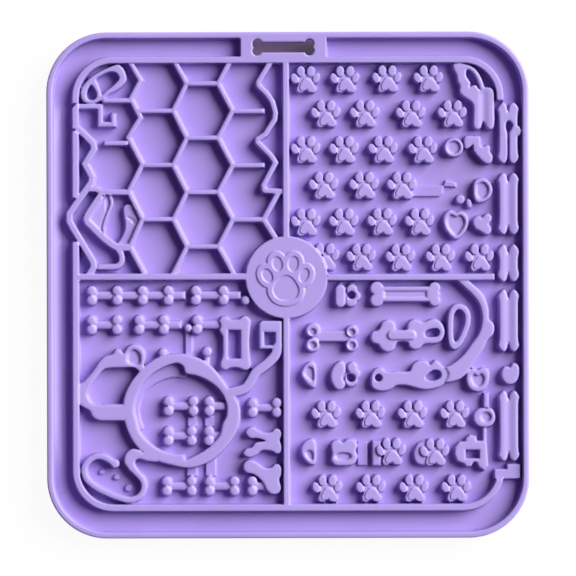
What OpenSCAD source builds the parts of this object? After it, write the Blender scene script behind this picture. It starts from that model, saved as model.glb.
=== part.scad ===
// Silicone lick mat: a sheet with a rim, four textured panels, a hang slot and suction cups underneath.
// The drawing grid is 200 columns by 210 rows, laid over the mat with its zero at the mat's centre.
// Tables whose names end in shares give places, outline points and radii in steps of that grid.

/* [Mat] */
// Width of the mat, left to right
mat_w = 200; // [190:1:230]
// Length of the mat, bottom edge to top edge
mat_l = 210; // [200:1:240]
// Radius of the outer corners
corner_r = 25; // [22:0.5:28]
// Thickness of the base sheet
sheet_t = 2; // [1.4:0.1:3]

/* [Walls] */
// Height of the rim, inner walls and dividers above the sheet
wall_h = 5.5; // [5.2:0.1:7.5]
// Width of the outer rim
rim_w = 2.5; // [2:0.1:3]
// Width of the inner walls
wall_w = 2.7; // [2.2:0.1:3]
// Width of the dividers between the panels
divider_w = 2.5; // [2:0.1:2.9]
// Radius of the round medallion in the middle
medallion_r = 17; // [16:0.1:17.6]
// Height of the paw outline on the medallion
medallion_paw_h = 0.45; // [0.3:0.05:0.8]

/* [Textures] */
// Height of the ribs and loops above the sheet
rib_h = 5.1; // [4.8:0.1:7]
// Width of the honeycomb ribs
comb_w = 1.9; // [1.5:0.1:2.3]
// Height of the paws, knobs and bones above the sheet
stud_h = 4.6; // [4:0.1:6]
// Height of the bars between the knobs
bar_h = 3.6; // [2.8:0.1:3.9]
// Width of the bars between the knobs
bar_w = 3.2; // [2.6:0.1:3.6]
// Height of the low steps and strips
step_h = 1.4; // [0.8:0.1:2]
// Depth of the dimples in the studs
dimple_d = 1.1; // [0.6:0.1:1.5]

/* [Hang slot] */
// Length of the bone-shaped slot, between the middles of its lobes
slot_shaft_l = 21.6; // [18:0.1:24]
// Width of the slot's shaft
slot_shaft_w = 4.4; // [4.2:0.1:4.8]
// Radius of the four lobes at the slot's ends
slot_lobe_r = 2; // [1.8:0.05:2.1]

/* [Suction cups] */
// Height of the cups below the sheet
cup_h = 3; // [2.6:0.1:4]
// Radius of a cup at its lip
cup_r = 7.5; // [6:0.1:9]
// Radius of a cup where it joins the sheet
cup_neck_r = 4.5; // [3.5:0.1:5.5]
// Thickness of a cup's skirt
cup_skirt_t = 1; // [0.7:0.05:1.2]
// Number of cups along each side
cups_across = 6; // [4:1:8]

/* [Hidden] */

$fn = 48;
overrun = 1;
silicone = "#b79fe4";

// The grid
grid_columns = 200;
grid_rows = 210;
share_x = mat_w / grid_columns;
share_y = mat_l / grid_rows;
share = min(share_x, share_y);
floor_z = cup_h + sheet_t;
curve_steps = 4;
corner_steps = 16;
mitre_limit = 0.55;

function at(p) = [p[0] * share_x, p[1] * share_y];
function along(ps) = [for (p = ps) at(p)];
function unit(v) = v / norm(v);

// A smooth curve through the points p, open or closed
function blend(a, b, c, d, t) =
    (2 * b + (c - a) * t + (2 * a - 5 * b + 4 * c - d) * t * t + (3 * b - a - 3 * c + d) * t * t * t) / 2;
function curve(p, closed = false) =
    let (n = len(p), spans = closed ? n : n - 1)
    concat(
        [for (i = [0 : spans - 1], s = [0 : curve_steps - 1])
            let (a = closed ? p[(i + n - 1) % n] : p[max(i - 1, 0)],
                 d = closed ? p[(i + 2) % n] : p[min(i + 2, n - 1)])
            blend(a, p[i], p[(i + 1) % n], d, s / curve_steps)],
        closed ? [] : [p[n - 1]]
    );

// The outline of a strip of width w along the points p, with mitred bends
function side_of(p, i) =
    let (a = unit(p[max(i, 1)] - p[max(i, 1) - 1]),
         b = unit(p[min(i + 1, len(p) - 1)] - p[min(i, len(p) - 2)]),
         t = unit(a + b),
         side = [-t[1], t[0]])
    side / max(side * [-a[1], a[0]], mitre_limit);
function strip(p, w) =
    concat(
        [for (i = [0 : len(p) - 1]) p[i] + side_of(p, i) * w / 2],
        [for (i = [len(p) - 1 : -1 : 0]) p[i] - side_of(p, i) * w / 2]
    );
function arc(centre, r, from, to) =
    [for (i = [0 : corner_steps]) let (a = from + (to - from) * i / corner_steps)
        centre + r * [cos(a), sin(a)]];

// Flat shapes
module raised(h) translate([0, 0, floor_z]) linear_extrude(height = h) children();
module line_plan(points_shares, w) polygon(strip(along(points_shares), w));
module curve_plan(points_shares, w) polygon(strip(curve(along(points_shares)), w));
module patch(points_shares) polygon(along(points_shares));
module round_patch(points_shares) polygon(curve(along(points_shares), true));
module dots(table_shares) {
    for (k = table_shares) translate(at(k)) circle(r = k[2] * share);
}
module box_plan(b) patch([[b[0], b[2]], [b[1], b[2]], [b[1], b[3]], [b[0], b[3]]]);
module oval(half_w, half_l, tilt) {
    turns = 20;
    rotate(tilt) polygon([for (i = [0 : turns - 1]) let (a = 360 * i / turns)
        [half_w * cos(a), half_l * sin(a)]]);
}
module plate(w, l, r) {
    x = w / 2 - r;
    y = l / 2 - r;
    polygon(concat(arc([x, y], r, 0, 90), arc([-x, y], r, 90, 180),
                   arc([-x, -y], r, 180, 270), arc([x, -y], r, 270, 360)));
}

// Inner walls: their middle lines
wall_left_share = -88;
wall_right_share = 88.2;
wall_top_share = 93.5;
wall_bottom_share = -92.4;
wall_corner_share = 15.6;
wall_top_ends_shares = [75.6, 76.4];
wall_bottom_ends_shares = [18, -80.6];
wall_left_runs_shares = [[36.3, 64], [65, 75.3]];
wall_chamfer_share = 1.7;

function wall_corner(side_x, side_y) =
    let (x = (side_x < 0 ? wall_left_share : wall_right_share) - side_x * wall_corner_share,
         y = (side_y < 0 ? wall_bottom_share : wall_top_share) - side_y * wall_corner_share,
         middle = atan2(side_y, side_x),
         turn = side_y > 0 ? -45 : 45)
    along(arc([x, y], wall_corner_share, middle - turn, middle + turn));
wall_top_line = concat(
    [at([wall_left_share, wall_top_ends_shares[0]])],
    wall_corner(-1, 1),
    wall_corner(1, 1),
    [at([wall_right_share, wall_top_ends_shares[1]])]
);
wall_bottom_line = concat(
    [at([wall_left_share, wall_bottom_ends_shares[0]])],
    wall_corner(-1, -1),
    wall_corner(1, -1)
);

module wall_top_plan() polygon(strip(wall_top_line, wall_w));
module wall_bottom_plan() difference() {
    polygon(strip(wall_bottom_line, wall_w));
    diagonal_plan();
    box_plan([medallion_shares[0], grid_columns / 2, wall_bottom_ends_shares[1], medallion_shares[1]]);
}
module wall_left_plan() {
    x0 = wall_left_share - wall_w / share_x / 2;
    x1 = wall_left_share + wall_w / share_x / 2;
    y0 = wall_left_runs_shares[1][0];
    y1 = wall_left_runs_shares[1][1];
    difference() {
        union() {
            line_plan([for (y = wall_left_runs_shares[0]) [wall_left_share, y]], wall_w);
            patch([
                [x0, y0], [x1, y0], [x1, y1], [x0 + wall_chamfer_share, y1], [x0, y1 - wall_chamfer_share]
            ]);
        }
        diagonal_plan();
    }
}

// Dividers: their middle lines, and the medallion they meet
divider_x_share = -0.7;
divider_left_y_share = 3.5;
divider_right_y_share = 3.15;
divider_right_end_share = 85.7;
medallion_shares = [-0.55, 3.15];

module medallion_plan() translate(at(medallion_shares)) circle(r = medallion_r, $fn = 96);
module divider_upper_plan() difference() {
    line_plan([[divider_x_share, divider_left_y_share], [divider_x_share, wall_top_share]], divider_w);
    medallion_plan();
    wall_top_plan();
}
module divider_lower_plan() difference() {
    line_plan([[divider_x_share, divider_left_y_share], [divider_x_share, wall_bottom_share]], divider_w);
    medallion_plan();
    wall_bottom_plan();
}
module divider_left_plan() difference() {
    line_plan([[divider_x_share, divider_left_y_share], [wall_left_share, divider_left_y_share]],
              divider_w);
    medallion_plan();
    wall_bottom_plan();
}
module divider_right_plan() difference() {
    line_plan([[divider_x_share, divider_right_y_share], [divider_right_end_share, divider_right_y_share]],
              divider_w);
    medallion_plan();
}
module walls_plan() {
    wall_top_plan();
    wall_bottom_plan();
    wall_left_plan();
}
module dividers_plan() {
    divider_upper_plan();
    divider_lower_plan();
    divider_left_plan();
    divider_right_plan();
    medallion_plan();
}

module rim_inside() plate(mat_w - 2 * rim_w, mat_l - 2 * rim_w, corner_r - rim_w);
module outer_rim() color(silicone) raised(wall_h) difference() {
    plate(mat_w, mat_l, corner_r);
    rim_inside();
}

// The hang slot, a bone shape through the bridge and the sheet, midway between the rim and the top wall
slot_x_share = -1.7;
bridge_ends_shares = [-19.4, 16.2];
slot_web = 0.35;
bridge_y0 = wall_top_share * share_y + wall_w / 2;
bridge_y1 = mat_l / 2 - rim_w;
slot_spread = (bridge_y1 - bridge_y0) / 2 - slot_web - slot_lobe_r;

module slot_plan() translate([slot_x_share * share_x, (bridge_y0 + bridge_y1) / 2]) {
    square([slot_shaft_l, slot_shaft_w], center = true);
    for (end = [-1, 1], side = [-1, 1])
        translate([end * slot_shaft_l / 2, side * slot_spread]) circle(r = slot_lobe_r);
}

module base_sheet() color(silicone) translate([0, 0, cup_h]) linear_extrude(height = sheet_t) difference() {
    plate(mat_w, mat_l, corner_r);
    slot_plan();
}
module hanger_bridge() color(silicone) raised(wall_h) difference() {
    intersection() {
        box_plan([bridge_ends_shares[0], bridge_ends_shares[1], wall_top_share, grid_rows / 2]);
        rim_inside();
    }
    slot_plan();
    wall_top_plan();
}

module inner_wall_top() color(silicone) raised(wall_h) wall_top_plan();
module inner_wall_left() color(silicone) raised(wall_h) wall_left_plan();
module inner_wall_bottom() color(silicone) raised(wall_h) wall_bottom_plan();
module divider_upper() color(silicone) raised(wall_h) divider_upper_plan();
module divider_lower() color(silicone) raised(wall_h) divider_lower_plan();
module divider_left() color(silicone) raised(wall_h) divider_left_plan();
module divider_right() color(silicone) raised(wall_h) divider_right_plan();
module centre_medallion() color(silicone) raised(wall_h) medallion_plan();

// The paw outline on the medallion: toes as x, y, half width, half length, tilt
medallion_toes_shares = [
    [-4.3, 8.8, 2.1, 3.1, 14], [2.3, 8.8, 2.2, 3.2, -8], [-8.5, 3.9, 2.1, 3.1, 28],
    [6.8, 4, 1.9, 3, -22]
];
medallion_pad_shares = [
    [-0.8, 4.1], [1.6, 3.2], [3.6, 0.7], [4.7, -2.4], [3.4, -5.3], [-0.8, -6.5], [-4.6, -5.4],
    [-6.3, -2.4], [-5.4, 0.6], [-3.3, 3.2]
];
medallion_pad_edge_shares = [
    [-0.8, 6.3], [4, 4.4], [6, 1], [6.9, -2.8], [5, -7], [-0.8, -8.8], [-6, -7.2], [-8.6, -2.8],
    [-7.6, 1], [-5.4, 4.4]
];
medallion_band_share = 2.2;

module medallion_toes(extra) {
    for (toe = medallion_toes_shares)
        translate(at(toe)) oval((toe[2] + extra) * share, (toe[3] + extra) * share, toe[4]);
}
module medallion_paw() color(silicone) translate([0, 0, floor_z + wall_h])
    linear_extrude(height = medallion_paw_h) difference() {
        union() {
            medallion_toes(medallion_band_share);
            round_patch(medallion_pad_edge_shares);
        }
        medallion_toes(0);
        round_patch(medallion_pad_shares);
    }

// Upper left panel: three zigzag ribs joined by level bars
comb_rows_shares = [83.7, 72.4, 61.1, 49.8, 38.6, 27.3, 16];
comb_left_shares = [
    [-66, 94], [-60.9, 85], [-65, 77.4], [-61, 69.6], [-66.1, 61.4], [-60.3, 50.2], [-66, 38.9],
    [-60.3, 27.5], [-65.6, 16], [-58.6, 3]
];
comb_middle_x_shares = [-41.8, -47.4];
comb_right_x_shares = [-28.8, -22.8];
comb_middle_ends_shares = [[-47.4, 94], [-48.4, 3]];
comb_right_ends_shares = [[-23.2, 94], [-21.6, 3]];
comb_bars_shares = [
    [-41.8, -28.8, 83.7], [-41.8, -28.8, 61.1], [-41.8, -28.8, 38.6], [-41.8, -28.8, 16],
    [-63, -47.4, 72.4], [-60.3, -47.4, 49.9], [-60.3, -47.4, 27.4], [-22.8, -9.6, 72.2],
    [-22.8, -9.6, 49.7], [-22.8, -9.6, 27.2], [-76.8, -65.2, 76.7], [-76.2, -66.4, 59],
    [-76, -66, 38.7], [-69, -65.6, 15.8]
];
zigzag_shares = [
    [-6.2, 94], [-12.1, 84.2], [-11.8, 82.6], [-8.4, 79.2], [-6.2, 76], [-5, 71.4], [-5.4, 68.6],
    [-9.4, 62.4], [-12.4, 60.6], [-12.4, 59.2], [-7, 53.8], [-5, 50.8], [-10, 41.4], [-9.6, 39.2],
    [-1, 38.8]
];
zigzag_lower_shares = [[-3.2, 39.5], [-10, 27.2], [-3.5, 17]];
zigzag_w_share = 2.1;

function comb_line(xs, ends) = concat(
    [ends[0]], [for (i = [0 : len(comb_rows_shares) - 1]) [xs[i % 2], comb_rows_shares[i]]], [ends[1]]);
module comb_left_plan() line_plan(comb_left_shares, comb_w);
module comb_middle_plan() line_plan(comb_line(comb_middle_x_shares, comb_middle_ends_shares), comb_w);
module comb_right_plan() line_plan(comb_line(comb_right_x_shares, comb_right_ends_shares), comb_w);
module zigzag_plan() {
    line_plan(zigzag_shares, zigzag_w_share * share);
    line_plan(zigzag_lower_shares, zigzag_w_share * share);
}
module clipped_rib(h) color(silicone) raised(h) difference() {
    children();
    walls_plan();
    dividers_plan();
}
module honeycomb_rib_left() clipped_rib(rib_h) comb_left_plan();
module honeycomb_rib_middle() clipped_rib(rib_h) comb_middle_plan();
module honeycomb_rib_right() clipped_rib(rib_h) comb_right_plan();
module zigzag_rib() clipped_rib(rib_h) zigzag_plan();
module honeycomb_bars() color(silicone) raised(rib_h) difference() {
    for (bar = comb_bars_shares) line_plan([[bar[0], bar[2]], [bar[1], bar[2]]], comb_w);
    comb_left_plan();
    comb_middle_plan();
    comb_right_plan();
    zigzag_plan();
    corner_loop_plan();
    pentagon_plan();
}

// Upper left corner: a ring, a leaf-shaped loop and a square hook
corner_ring_shares = [
    [-85.8, 79.6], [-85, 82.4], [-83, 84.9], [-80.4, 87.1], [-77, 89.1], [-73, 90.8], [-70.4, 91.6],
    [-68.6, 90.4], [-67.4, 88.2], [-66.9, 85.4], [-68.4, 83], [-71, 81], [-74, 79.4], [-76.4, 77.4],
    [-79.5, 75.9], [-82.5, 75.6], [-84.8, 76.6]
];
ring_hole_shares = [
    [-81.4, 83.2], [-80, 81.6], [-79.1, 79.6], [-79.4, 77.8], [-80.8, 76.9], [-82.6, 77.2], [-83.4, 79],
    [-82.9, 81.4]
];
leaf_hole_shares = [
    [-79.4, 85.6], [-77.2, 87.2], [-74, 88.6], [-71.4, 88.4], [-69.9, 86.8], [-70.2, 85], [-72.6, 82.6],
    [-75, 80.8], [-77, 78.9], [-77.7, 80.8], [-78.6, 83.2]
];
hook_shares = [[-87.4, 74.3], [-77.7, 74.3], [-77.7, 66.8], [-72.2, 66.8], [-72.2, 71.4]];
hook_w_share = 2;

module corner_loop_plan() difference() {
    union() {
        round_patch(corner_ring_shares);
        line_plan(hook_shares, hook_w_share * share);
    }
    round_patch(ring_hole_shares);
    round_patch(leaf_hole_shares);
}
module corner_loop() clipped_rib(rib_h) corner_loop_plan();

// Left side: a long bent rib that passes out through the gap in the wall, and a five-sided loop
diagonal_shares = [
    [-87.4, 65.4], [-84.2, 62.6], [-80.7, 58.8], [-80.3, 56.6], [-84, 50.4], [-81.2, 45], [-81.6, 42.6],
    [-87, 35], [-90.6, 29.8], [-90.6, 26.6], [-87.8, 21.6], [-84.6, 16.3], [-80.9, 10], [-80.5, 7.6],
    [-83.1, 3.5]
];
diagonal_w_share = 2.6;
pentagon_top_shares = [[-84.6, 38.8], [-82.6, 40], [-79.6, 40], [-77, 38.8], [-64.6, 38.6]];
pentagon_side_shares = [
    [-76.6, 38.6], [-79.8, 34], [-83, 29], [-83.2, 26.6], [-81, 24.2], [-77.6, 20.8], [-73.8, 17.6],
    [-70.4, 15.8], [-65, 15.8]
];
pentagon_foot_shares = [
    [-71.6, 16.4], [-69.4, 13.4], [-68.9, 10.4], [-70.2, 8.3], [-72.6, 7.7], [-79, 7.7]
];
pentagon_ridge_shares = [[-74, 38.2], [-73, 34], [-74.6, 29.6], [-76, 25.4], [-76.4, 21.4]];
pentagon_band_share = 2.8;
pentagon_foot_w_share = 2.2;
pentagon_ridge_w_share = 1.1;
pentagon_pad_shares = [
    [-68.2, 32], [-67.4, 33.3], [-65.8, 33.6], [-63.2, 32], [-61.2, 27.5], [-63.4, 21.4], [-66, 16.2],
    [-70.6, 16.8], [-68.8, 20], [-67.6, 23], [-67.4, 26], [-67.9, 28.6]
];
pentagon_pad_hole_shares = [[-66.6, 28.4], [-64.4, 27.8], [-63.4, 26.6], [-64, 25.6], [-65, 26.8]];
pentagon_low_shares = [
    [-75.6, 36], [-75.4, 31], [-77.4, 25], [-78, 22.6], [-82.4, 27.4], [-79, 33]
];

module diagonal_plan() line_plan(diagonal_shares, diagonal_w_share * share);
module pentagon_plan() {
    line_plan(pentagon_top_shares, pentagon_foot_w_share * share);
    curve_plan(pentagon_side_shares, pentagon_band_share * share);
    curve_plan(pentagon_foot_shares, pentagon_foot_w_share * share);
    curve_plan(pentagon_ridge_shares, pentagon_ridge_w_share * share);
}
module diagonal_rib() clipped_rib(rib_h) difference() {
    diagonal_plan();
    corner_loop_plan();
}
module pentagon_loop() color(silicone) raised(rib_h) difference() {
    pentagon_plan();
    diagonal_plan();
    comb_left_plan();
}
module pentagon_steps() color(silicone) {
    raised(bar_h) difference() {
        round_patch(pentagon_pad_shares);
        round_patch(pentagon_pad_hole_shares);
        pentagon_plan();
        comb_left_plan();
    }
    raised(bar_h) difference() {
        patch(pentagon_low_shares);
        pentagon_plan();
    }
}

// A paw stud: toes as x, y, half width, half length, tilt, and the pad's outline
paw_toes_shares = [
    [-4.6, 0.4, 1.45, 2.2, 22], [-2, 3.4, 1.65, 2.2, 6], [2.1, 3.4, 1.6, 2.2, -8],
    [4.4, 0.6, 1.4, 2.2, -16]
];
paw_pad_shares = [
    [0.2, 0.4], [2, -0.4], [3.4, -2.2], [4.4, -4], [3.4, -5.4], [1.6, -5.2], [0.1, -4.5], [-1.4, -5.3],
    [-3, -5.4], [-3.7, -4], [-2.9, -1.7], [-1.6, -0.3]
];
paws_upper_shares = [
    [7.6, 85.3], [23.9, 85.3], [41.4, 85.5], [58.6, 85.5], [15.9, 71], [32.1, 71], [51.2, 70.9],
    [68.5, 70.9], [7.6, 56.1], [23.5, 56.1], [39.7, 56.1], [56.2, 56], [15, 41.2], [31.8, 41.2],
    [47.4, 41.1], [7.6, 26], [23.3, 26], [39.2, 26.1], [54.8, 26], [15.4, 11.6], [30.5, 11.4],
    [46.8, 11.2], [63.4, 11.2], [79.6, 11.2]
];
paws_lower_shares = [
    [15.8, -53.8], [34.2, -53.8], [51.7, -53.9], [69.2, -53.9], [42.8, -69.3], [60.9, -69.6],
    [16.2, -84.5], [34.3, -84.5], [52.2, -84.5], [69.7, -84.5]
];

module paw_plan(centre_shares) translate(at(centre_shares)) {
    for (toe = paw_toes_shares)
        translate(share * [toe[0], toe[1]]) oval(toe[2] * share, toe[3] * share, toe[4]);
    polygon(curve(share * paw_pad_shares, true));
}
module paw_studs_upper() color(silicone) raised(stud_h) difference() {
    for (centre_shares = paws_upper_shares) paw_plan(centre_shares);
    medallion_plan();
}
module paw_studs_lower() color(silicone) raised(stud_h) {
    for (centre_shares = paws_lower_shares) paw_plan(centre_shares);
}

// Upper right corner: a bone joined to a scalloped rib and a bowed rib
corner_bone_shares = [
    [68.7, 91.4], [70, 92], [73, 91.6], [76, 90.8], [78.4, 89], [80.2, 86.2], [81.3, 83.4],
    [81.8, 81.9], [84.2, 81.7], [85.7, 79.6], [85.8, 73], [85.8, 67], [84.9, 64.6], [83, 64.8],
    [81.2, 67.6], [80, 64.9], [78, 64.6], [77.1, 66.6], [77.2, 70], [77.1, 74.6], [75, 76.8],
    [72.4, 78.6], [71.4, 80.4], [71.6, 82.4], [70.6, 84.6], [70.2, 87], [69.2, 89]
];
corner_bone_hole_shares = [
    [74.6, 89.2], [76.4, 88.5], [78.2, 86], [79.5, 82.6], [80, 80.8], [79.2, 81.4], [78.2, 82.7],
    [77, 82.6], [75.7, 82], [75.9, 83.8], [74.8, 85.4], [74.1, 87.2]
];
module corner_bone() color(silicone) raised(stud_h) difference() {
    round_patch(corner_bone_shares);
    round_patch(corner_bone_hole_shares);
    wall_top_plan();
}

// Right side: upright bones as top and bottom, and their outline from left to right
border_bones_shares = [[75.4, 50.3], [46.2, 20.8], [16.5, 1.2], [-2.2, -27.8], [-44.2, -73.2]];
border_x_shares = [87.3, 89.3, 90.8, 91.5, 92.2, 94, 95.9];
border_waist_share = 0.45;
border_lobe_shares = [2.4, 5.8];
border_notch_shares = [1.1, 3.9];
border_slit_shares = [
    [92, 68], [93.4, 66.6], [93, 64.6], [92, 62.6], [91.8, 58], [91.7, 53.6], [91.4, 58], [91.2, 62.6],
    [90.6, 65], [90.8, 67.2]
];
border_bump_shares = [94.6, 63.7, 2.4];
border_groove_shares = [91.1, 92.1, 4.6];
border_heart_shares = [
    [88.6, -36.2], [89.5, -34.4], [91, -34.1], [92.2, -34.4], [93.2, -32.8], [94.9, -33], [95.9, -34.8],
    [95.7, -38], [94.5, -40.4], [92, -41.5], [89.6, -40.2], [88.6, -38.2]
];

function bone_end(y, dir) =
    let (x = border_x_shares,
         lobe = [for (depth = border_lobe_shares) y - dir * depth],
         notch = [for (depth = border_notch_shares) y - dir * depth])
    [
        [x[0] + border_waist_share, lobe[1]], [x[0], lobe[0]], [x[1], y],
        [x[2], notch[0]], [x[3], notch[1]], [x[4], notch[0]],
        [x[5], y], [x[6], lobe[0]], [x[6] - border_waist_share, lobe[1]]
    ];
function flipped(ps) = [for (i = [len(ps) - 1 : -1 : 0]) ps[i]];
module border_bone(run) round_patch(concat(bone_end(run[0], 1), flipped(bone_end(run[1], -1))));
module border_groove(run) translate([0, 0, stud_h - dimple_d]) raised(dimple_d + overrun)
    box_plan([border_groove_shares[0], border_groove_shares[1],
              run[1] + border_groove_shares[2], run[0] - border_groove_shares[2]]);
module border_bones() color(silicone) {
    raised(stud_h) difference() {
        union() {
            border_bone(border_bones_shares[0]);
            dots([border_bump_shares]);
        }
        round_patch(border_slit_shares);
    }
    for (i = [1 : len(border_bones_shares) - 1]) difference() {
        raised(stud_h) border_bone(border_bones_shares[i]);
        border_groove(border_bones_shares[i]);
    }
    raised(stud_h) round_patch(border_heart_shares);
}

// A stud with a rim: the outline, and the hollow sunk into its top
module rimmed_stud(outline_shares, hollow_shares) difference() {
    raised(stud_h) round_patch(outline_shares);
    translate([0, 0, stud_h - dimple_d]) raised(dimple_d + overrun) round_patch(hollow_shares);
}

// Upper right: treats between the paws and the border bones
disc_shares = [69, 57, 3.9];
disc_hollow_shares = [69, 57, 2.7];
bracket_shares = [
    [73.4, 60.9], [74.6, 61.7], [77, 61.6], [79.6, 61.5], [80.1, 60], [80.2, 57.8], [81.4, 57.2],
    [82.8, 57.9], [84.1, 57], [83.9, 55.2], [85, 53.4], [84.6, 51], [83, 50.2], [80.8, 51.4],
    [78.8, 53.6], [77.3, 55.6], [76.9, 58.2], [75.5, 57], [73.9, 56.5], [73.3, 58.4]
];
egg_shares = [
    [77.5, 42.6], [79, 43.9], [81.6, 44], [84.1, 42], [84.9, 39], [83.8, 36.2], [81.4, 34.4],
    [78.8, 34.2], [77.4, 36], [77.1, 39.4]
];
egg_hollow_shares = [
    [79, 41.8], [81.2, 42.6], [83.2, 40.8], [83.4, 38.4], [82, 36.2], [79.8, 35.7], [78.6, 37.2],
    [78.4, 39.6]
];
heart_shares = [
    [69.9, 18.9], [73.2, 21.6], [74.9, 25.4], [74.2, 28.8], [71.8, 30.4], [69.7, 29.9], [67.4, 30.9],
    [65.2, 29.2], [64.7, 25.6], [66.3, 21.8]
];
heart_hollow_shares = [
    [69.9, 20.5], [72.3, 22.6], [73.6, 25.6], [72.9, 28], [71.4, 28.9], [69.8, 28.3], [67.8, 29.2],
    [66.5, 28], [66.1, 25.6], [67.4, 22.7]
];
three_lobe_shares = [
    [76.9, 26], [77.7, 27.9], [79.4, 28.4], [80.8, 27.7], [81.7, 28.9], [83.2, 29.4], [84.5, 28.2],
    [84.3, 26.4], [83.4, 25.1], [84.3, 23.7], [84.2, 21.7], [82.8, 20.7], [81.2, 21.4], [79.6, 22.5],
    [77.8, 23.5]
];
small_knobs_shares = [[71.7, 35.4, 1.8]];
small_oval_shares = [75.3, 33.7, 1.1, 1.9, 14];
flat_bar_shares = [[50.6, 36.8], [62.8, 36.8], [64.2, 38], [64.8, 41], [50.6, 41]];
flat_bits_shares = [[64.8, 41], [65.6, 43.2], [69.8, 42.2], [69.8, 40.6]];

module treat_studs_upper() color(silicone) {
    difference() {
        raised(stud_h) dots([disc_shares]);
        translate([0, 0, stud_h - dimple_d]) raised(dimple_d + overrun) dots([disc_hollow_shares]);
    }
    raised(stud_h) round_patch(bracket_shares);
    rimmed_stud(egg_shares, egg_hollow_shares);
    rimmed_stud(heart_shares, heart_hollow_shares);
    raised(stud_h) round_patch(three_lobe_shares);
    raised(bar_h) dots(small_knobs_shares);
    raised(bar_h) translate(at(small_oval_shares))
        oval(small_oval_shares[2] * share, small_oval_shares[3] * share, small_oval_shares[4]);
    raised(step_h) difference() {
        union() {
            patch(flat_bar_shares);
            patch(flat_bits_shares);
        }
        paw_plan(paws_upper_shares[14]);
    }
}

// Lower left panel: barbells as the row's middle, then the x of each pair of knobs along one bar
knob_r_share = 2.05;
knob_pitch_share = 1.95;
barbells_shares = [
    [-4.2, [-81.4, -70.9]], [-4.2, [-60.4, -49.7]], [-4.2, [-38.3, -26.8]],
    [-16.4, [-81.5, -71]], [-16.4, [-61.8, -51.6]],
    [-50.2, [-49.7, -39.4]], [-62.6, [-49.8, -40.1]],
    [-83.4, [-50.5, -40.2]], [-83.4, [-32.7, -22.4]], [-50.9, [-14.8, -4.7]]
];
joining_bars_shares = [
    [-4.2, -70.9, -60.4], [-4.2, -49.7, -42.6], [-4.2, -26.8, -19.6], [-16.4, -51.6, -44.2]
];
single_pairs_shares = [
    [-50.2, -32.8, -24], [-62.6, -32.9, -26], [-83.4, -15, -7], [-16.4, -37.8, -24]
];
single_knobs_shares = [[-17.6, -6.3, 1.8], [-41.5, -17.7, 1.5], [-52, -28, 1.7], [-33.6, -27.6, 1.95]];
knob_stem_shares = [[-33.6, -27.6], [-33.6, -34]];
knob_stem_w_share = 2.2;

module knob_pair(x, y) {
    dots([[x, y + knob_pitch_share, knob_r_share]]);
    dots([[x, y - knob_pitch_share, knob_r_share]]);
}
module bar_run(y, x0, x1) line_plan([[x0, y], [x1, y]], bar_w * share);
module pairs_plan() {
    for (b = barbells_shares, x = b[1]) knob_pair(x, b[0]);
    for (s = single_pairs_shares) knob_pair(s[1], s[0]);
}
module barbell_neighbours() {
    ring_rib_plan();
    frame_plan();
    side_bones_plan();
    medallion_plan();
}
module barbell_studs() color(silicone) {
    raised(stud_h) difference() {
        union() {
            pairs_plan();
            dots(single_knobs_shares);
        }
        ring_rib_plan();
        medallion_plan();
    }
    raised(bar_h) difference() {
        union() {
            for (b = barbells_shares) bar_run(b[0], b[1][0], b[1][1]);
            for (b = joining_bars_shares) bar_run(b[0], b[1], b[2]);
            for (s = single_pairs_shares) bar_run(s[0], s[1], s[2]);
            line_plan(knob_stem_shares, knob_stem_w_share * share);
        }
        pairs_plan();
        dots(single_knobs_shares);
        barbell_neighbours();
    }
}

// Low strips between the rows
low_strips_shares = [
    [-41.2, -19.2, -31, 2.8], [-39.9, -54.4, -58.6, 3.6], [-32.8, -54.4, -58.6, 3.6],
    [-40, -74, -79.2, 4], [-32.2, -71, -79.2, 4]
];
low_dots_shares = [[-77.6, -77.6, 0.9], [-71.5, -79.7, 1], [-66.4, -84.2, 1.4]];

module low_strips() color(silicone) raised(step_h) difference() {
    union() {
        for (s = low_strips_shares) line_plan([[s[0], s[1]], [s[0], s[2]]], s[3] * share);
        dots(low_dots_shares);
    }
    ring_rib_plan();
    pairs_plan();
    dots(single_knobs_shares);
    barbell_bars_plan();
}
module barbell_bars_plan() {
    for (b = barbells_shares) bar_run(b[0], b[1][0], b[1][1]);
    for (s = single_pairs_shares) bar_run(s[0], s[1], s[2]);
}

// The big ring and the low step inside it
ring_outer_shares = [
    [-46.4, -28.6], [-42.6, -28.8], [-38, -30.1], [-34, -32.1], [-30, -35.7], [-26.6, -40.4],
    [-23.6, -44.6], [-21, -48], [-19.9, -53], [-20.6, -58.4], [-23, -63.4], [-26.8, -68.2],
    [-31.6, -72.4], [-36.6, -74.8], [-42, -75.7], [-48, -74.6], [-54, -72.9], [-60, -69.7],
    [-64.4, -64.6], [-67.2, -58.6], [-68.5, -52], [-67.8, -46], [-65.4, -40.6], [-61.6, -35.8],
    [-57, -31.8], [-52, -29.3]
];
ring_inner_shares = [
    [-64, -51.4], [-63, -56.2], [-61.6, -61], [-58, -65], [-53.4, -68.2], [-48, -70], [-43.4, -70.5],
    [-42.6, -72.4], [-39, -71], [-34.6, -68.6], [-30.8, -65.4], [-28, -61.2], [-27, -57.2],
    [-25.6, -54.6], [-25.4, -50], [-27, -45.4], [-30, -41.8], [-34, -39.1], [-38.4, -37.3],
    [-42.3, -36.5], [-43.2, -34], [-44.8, -32.5], [-47.4, -32.3], [-51.6, -33.8], [-56, -36.4],
    [-60, -40.6], [-62.8, -46]
];
ring_step_shares = [
    [-62, -51.4], [-61.4, -56], [-60.6, -59.6], [-65, -60], [-67, -52], [-66, -44], [-60, -34],
    [-50, -30], [-42, -32], [-42.4, -38], [-47, -38], [-52, -39.2], [-57, -42], [-60.6, -46.2]
];

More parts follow.
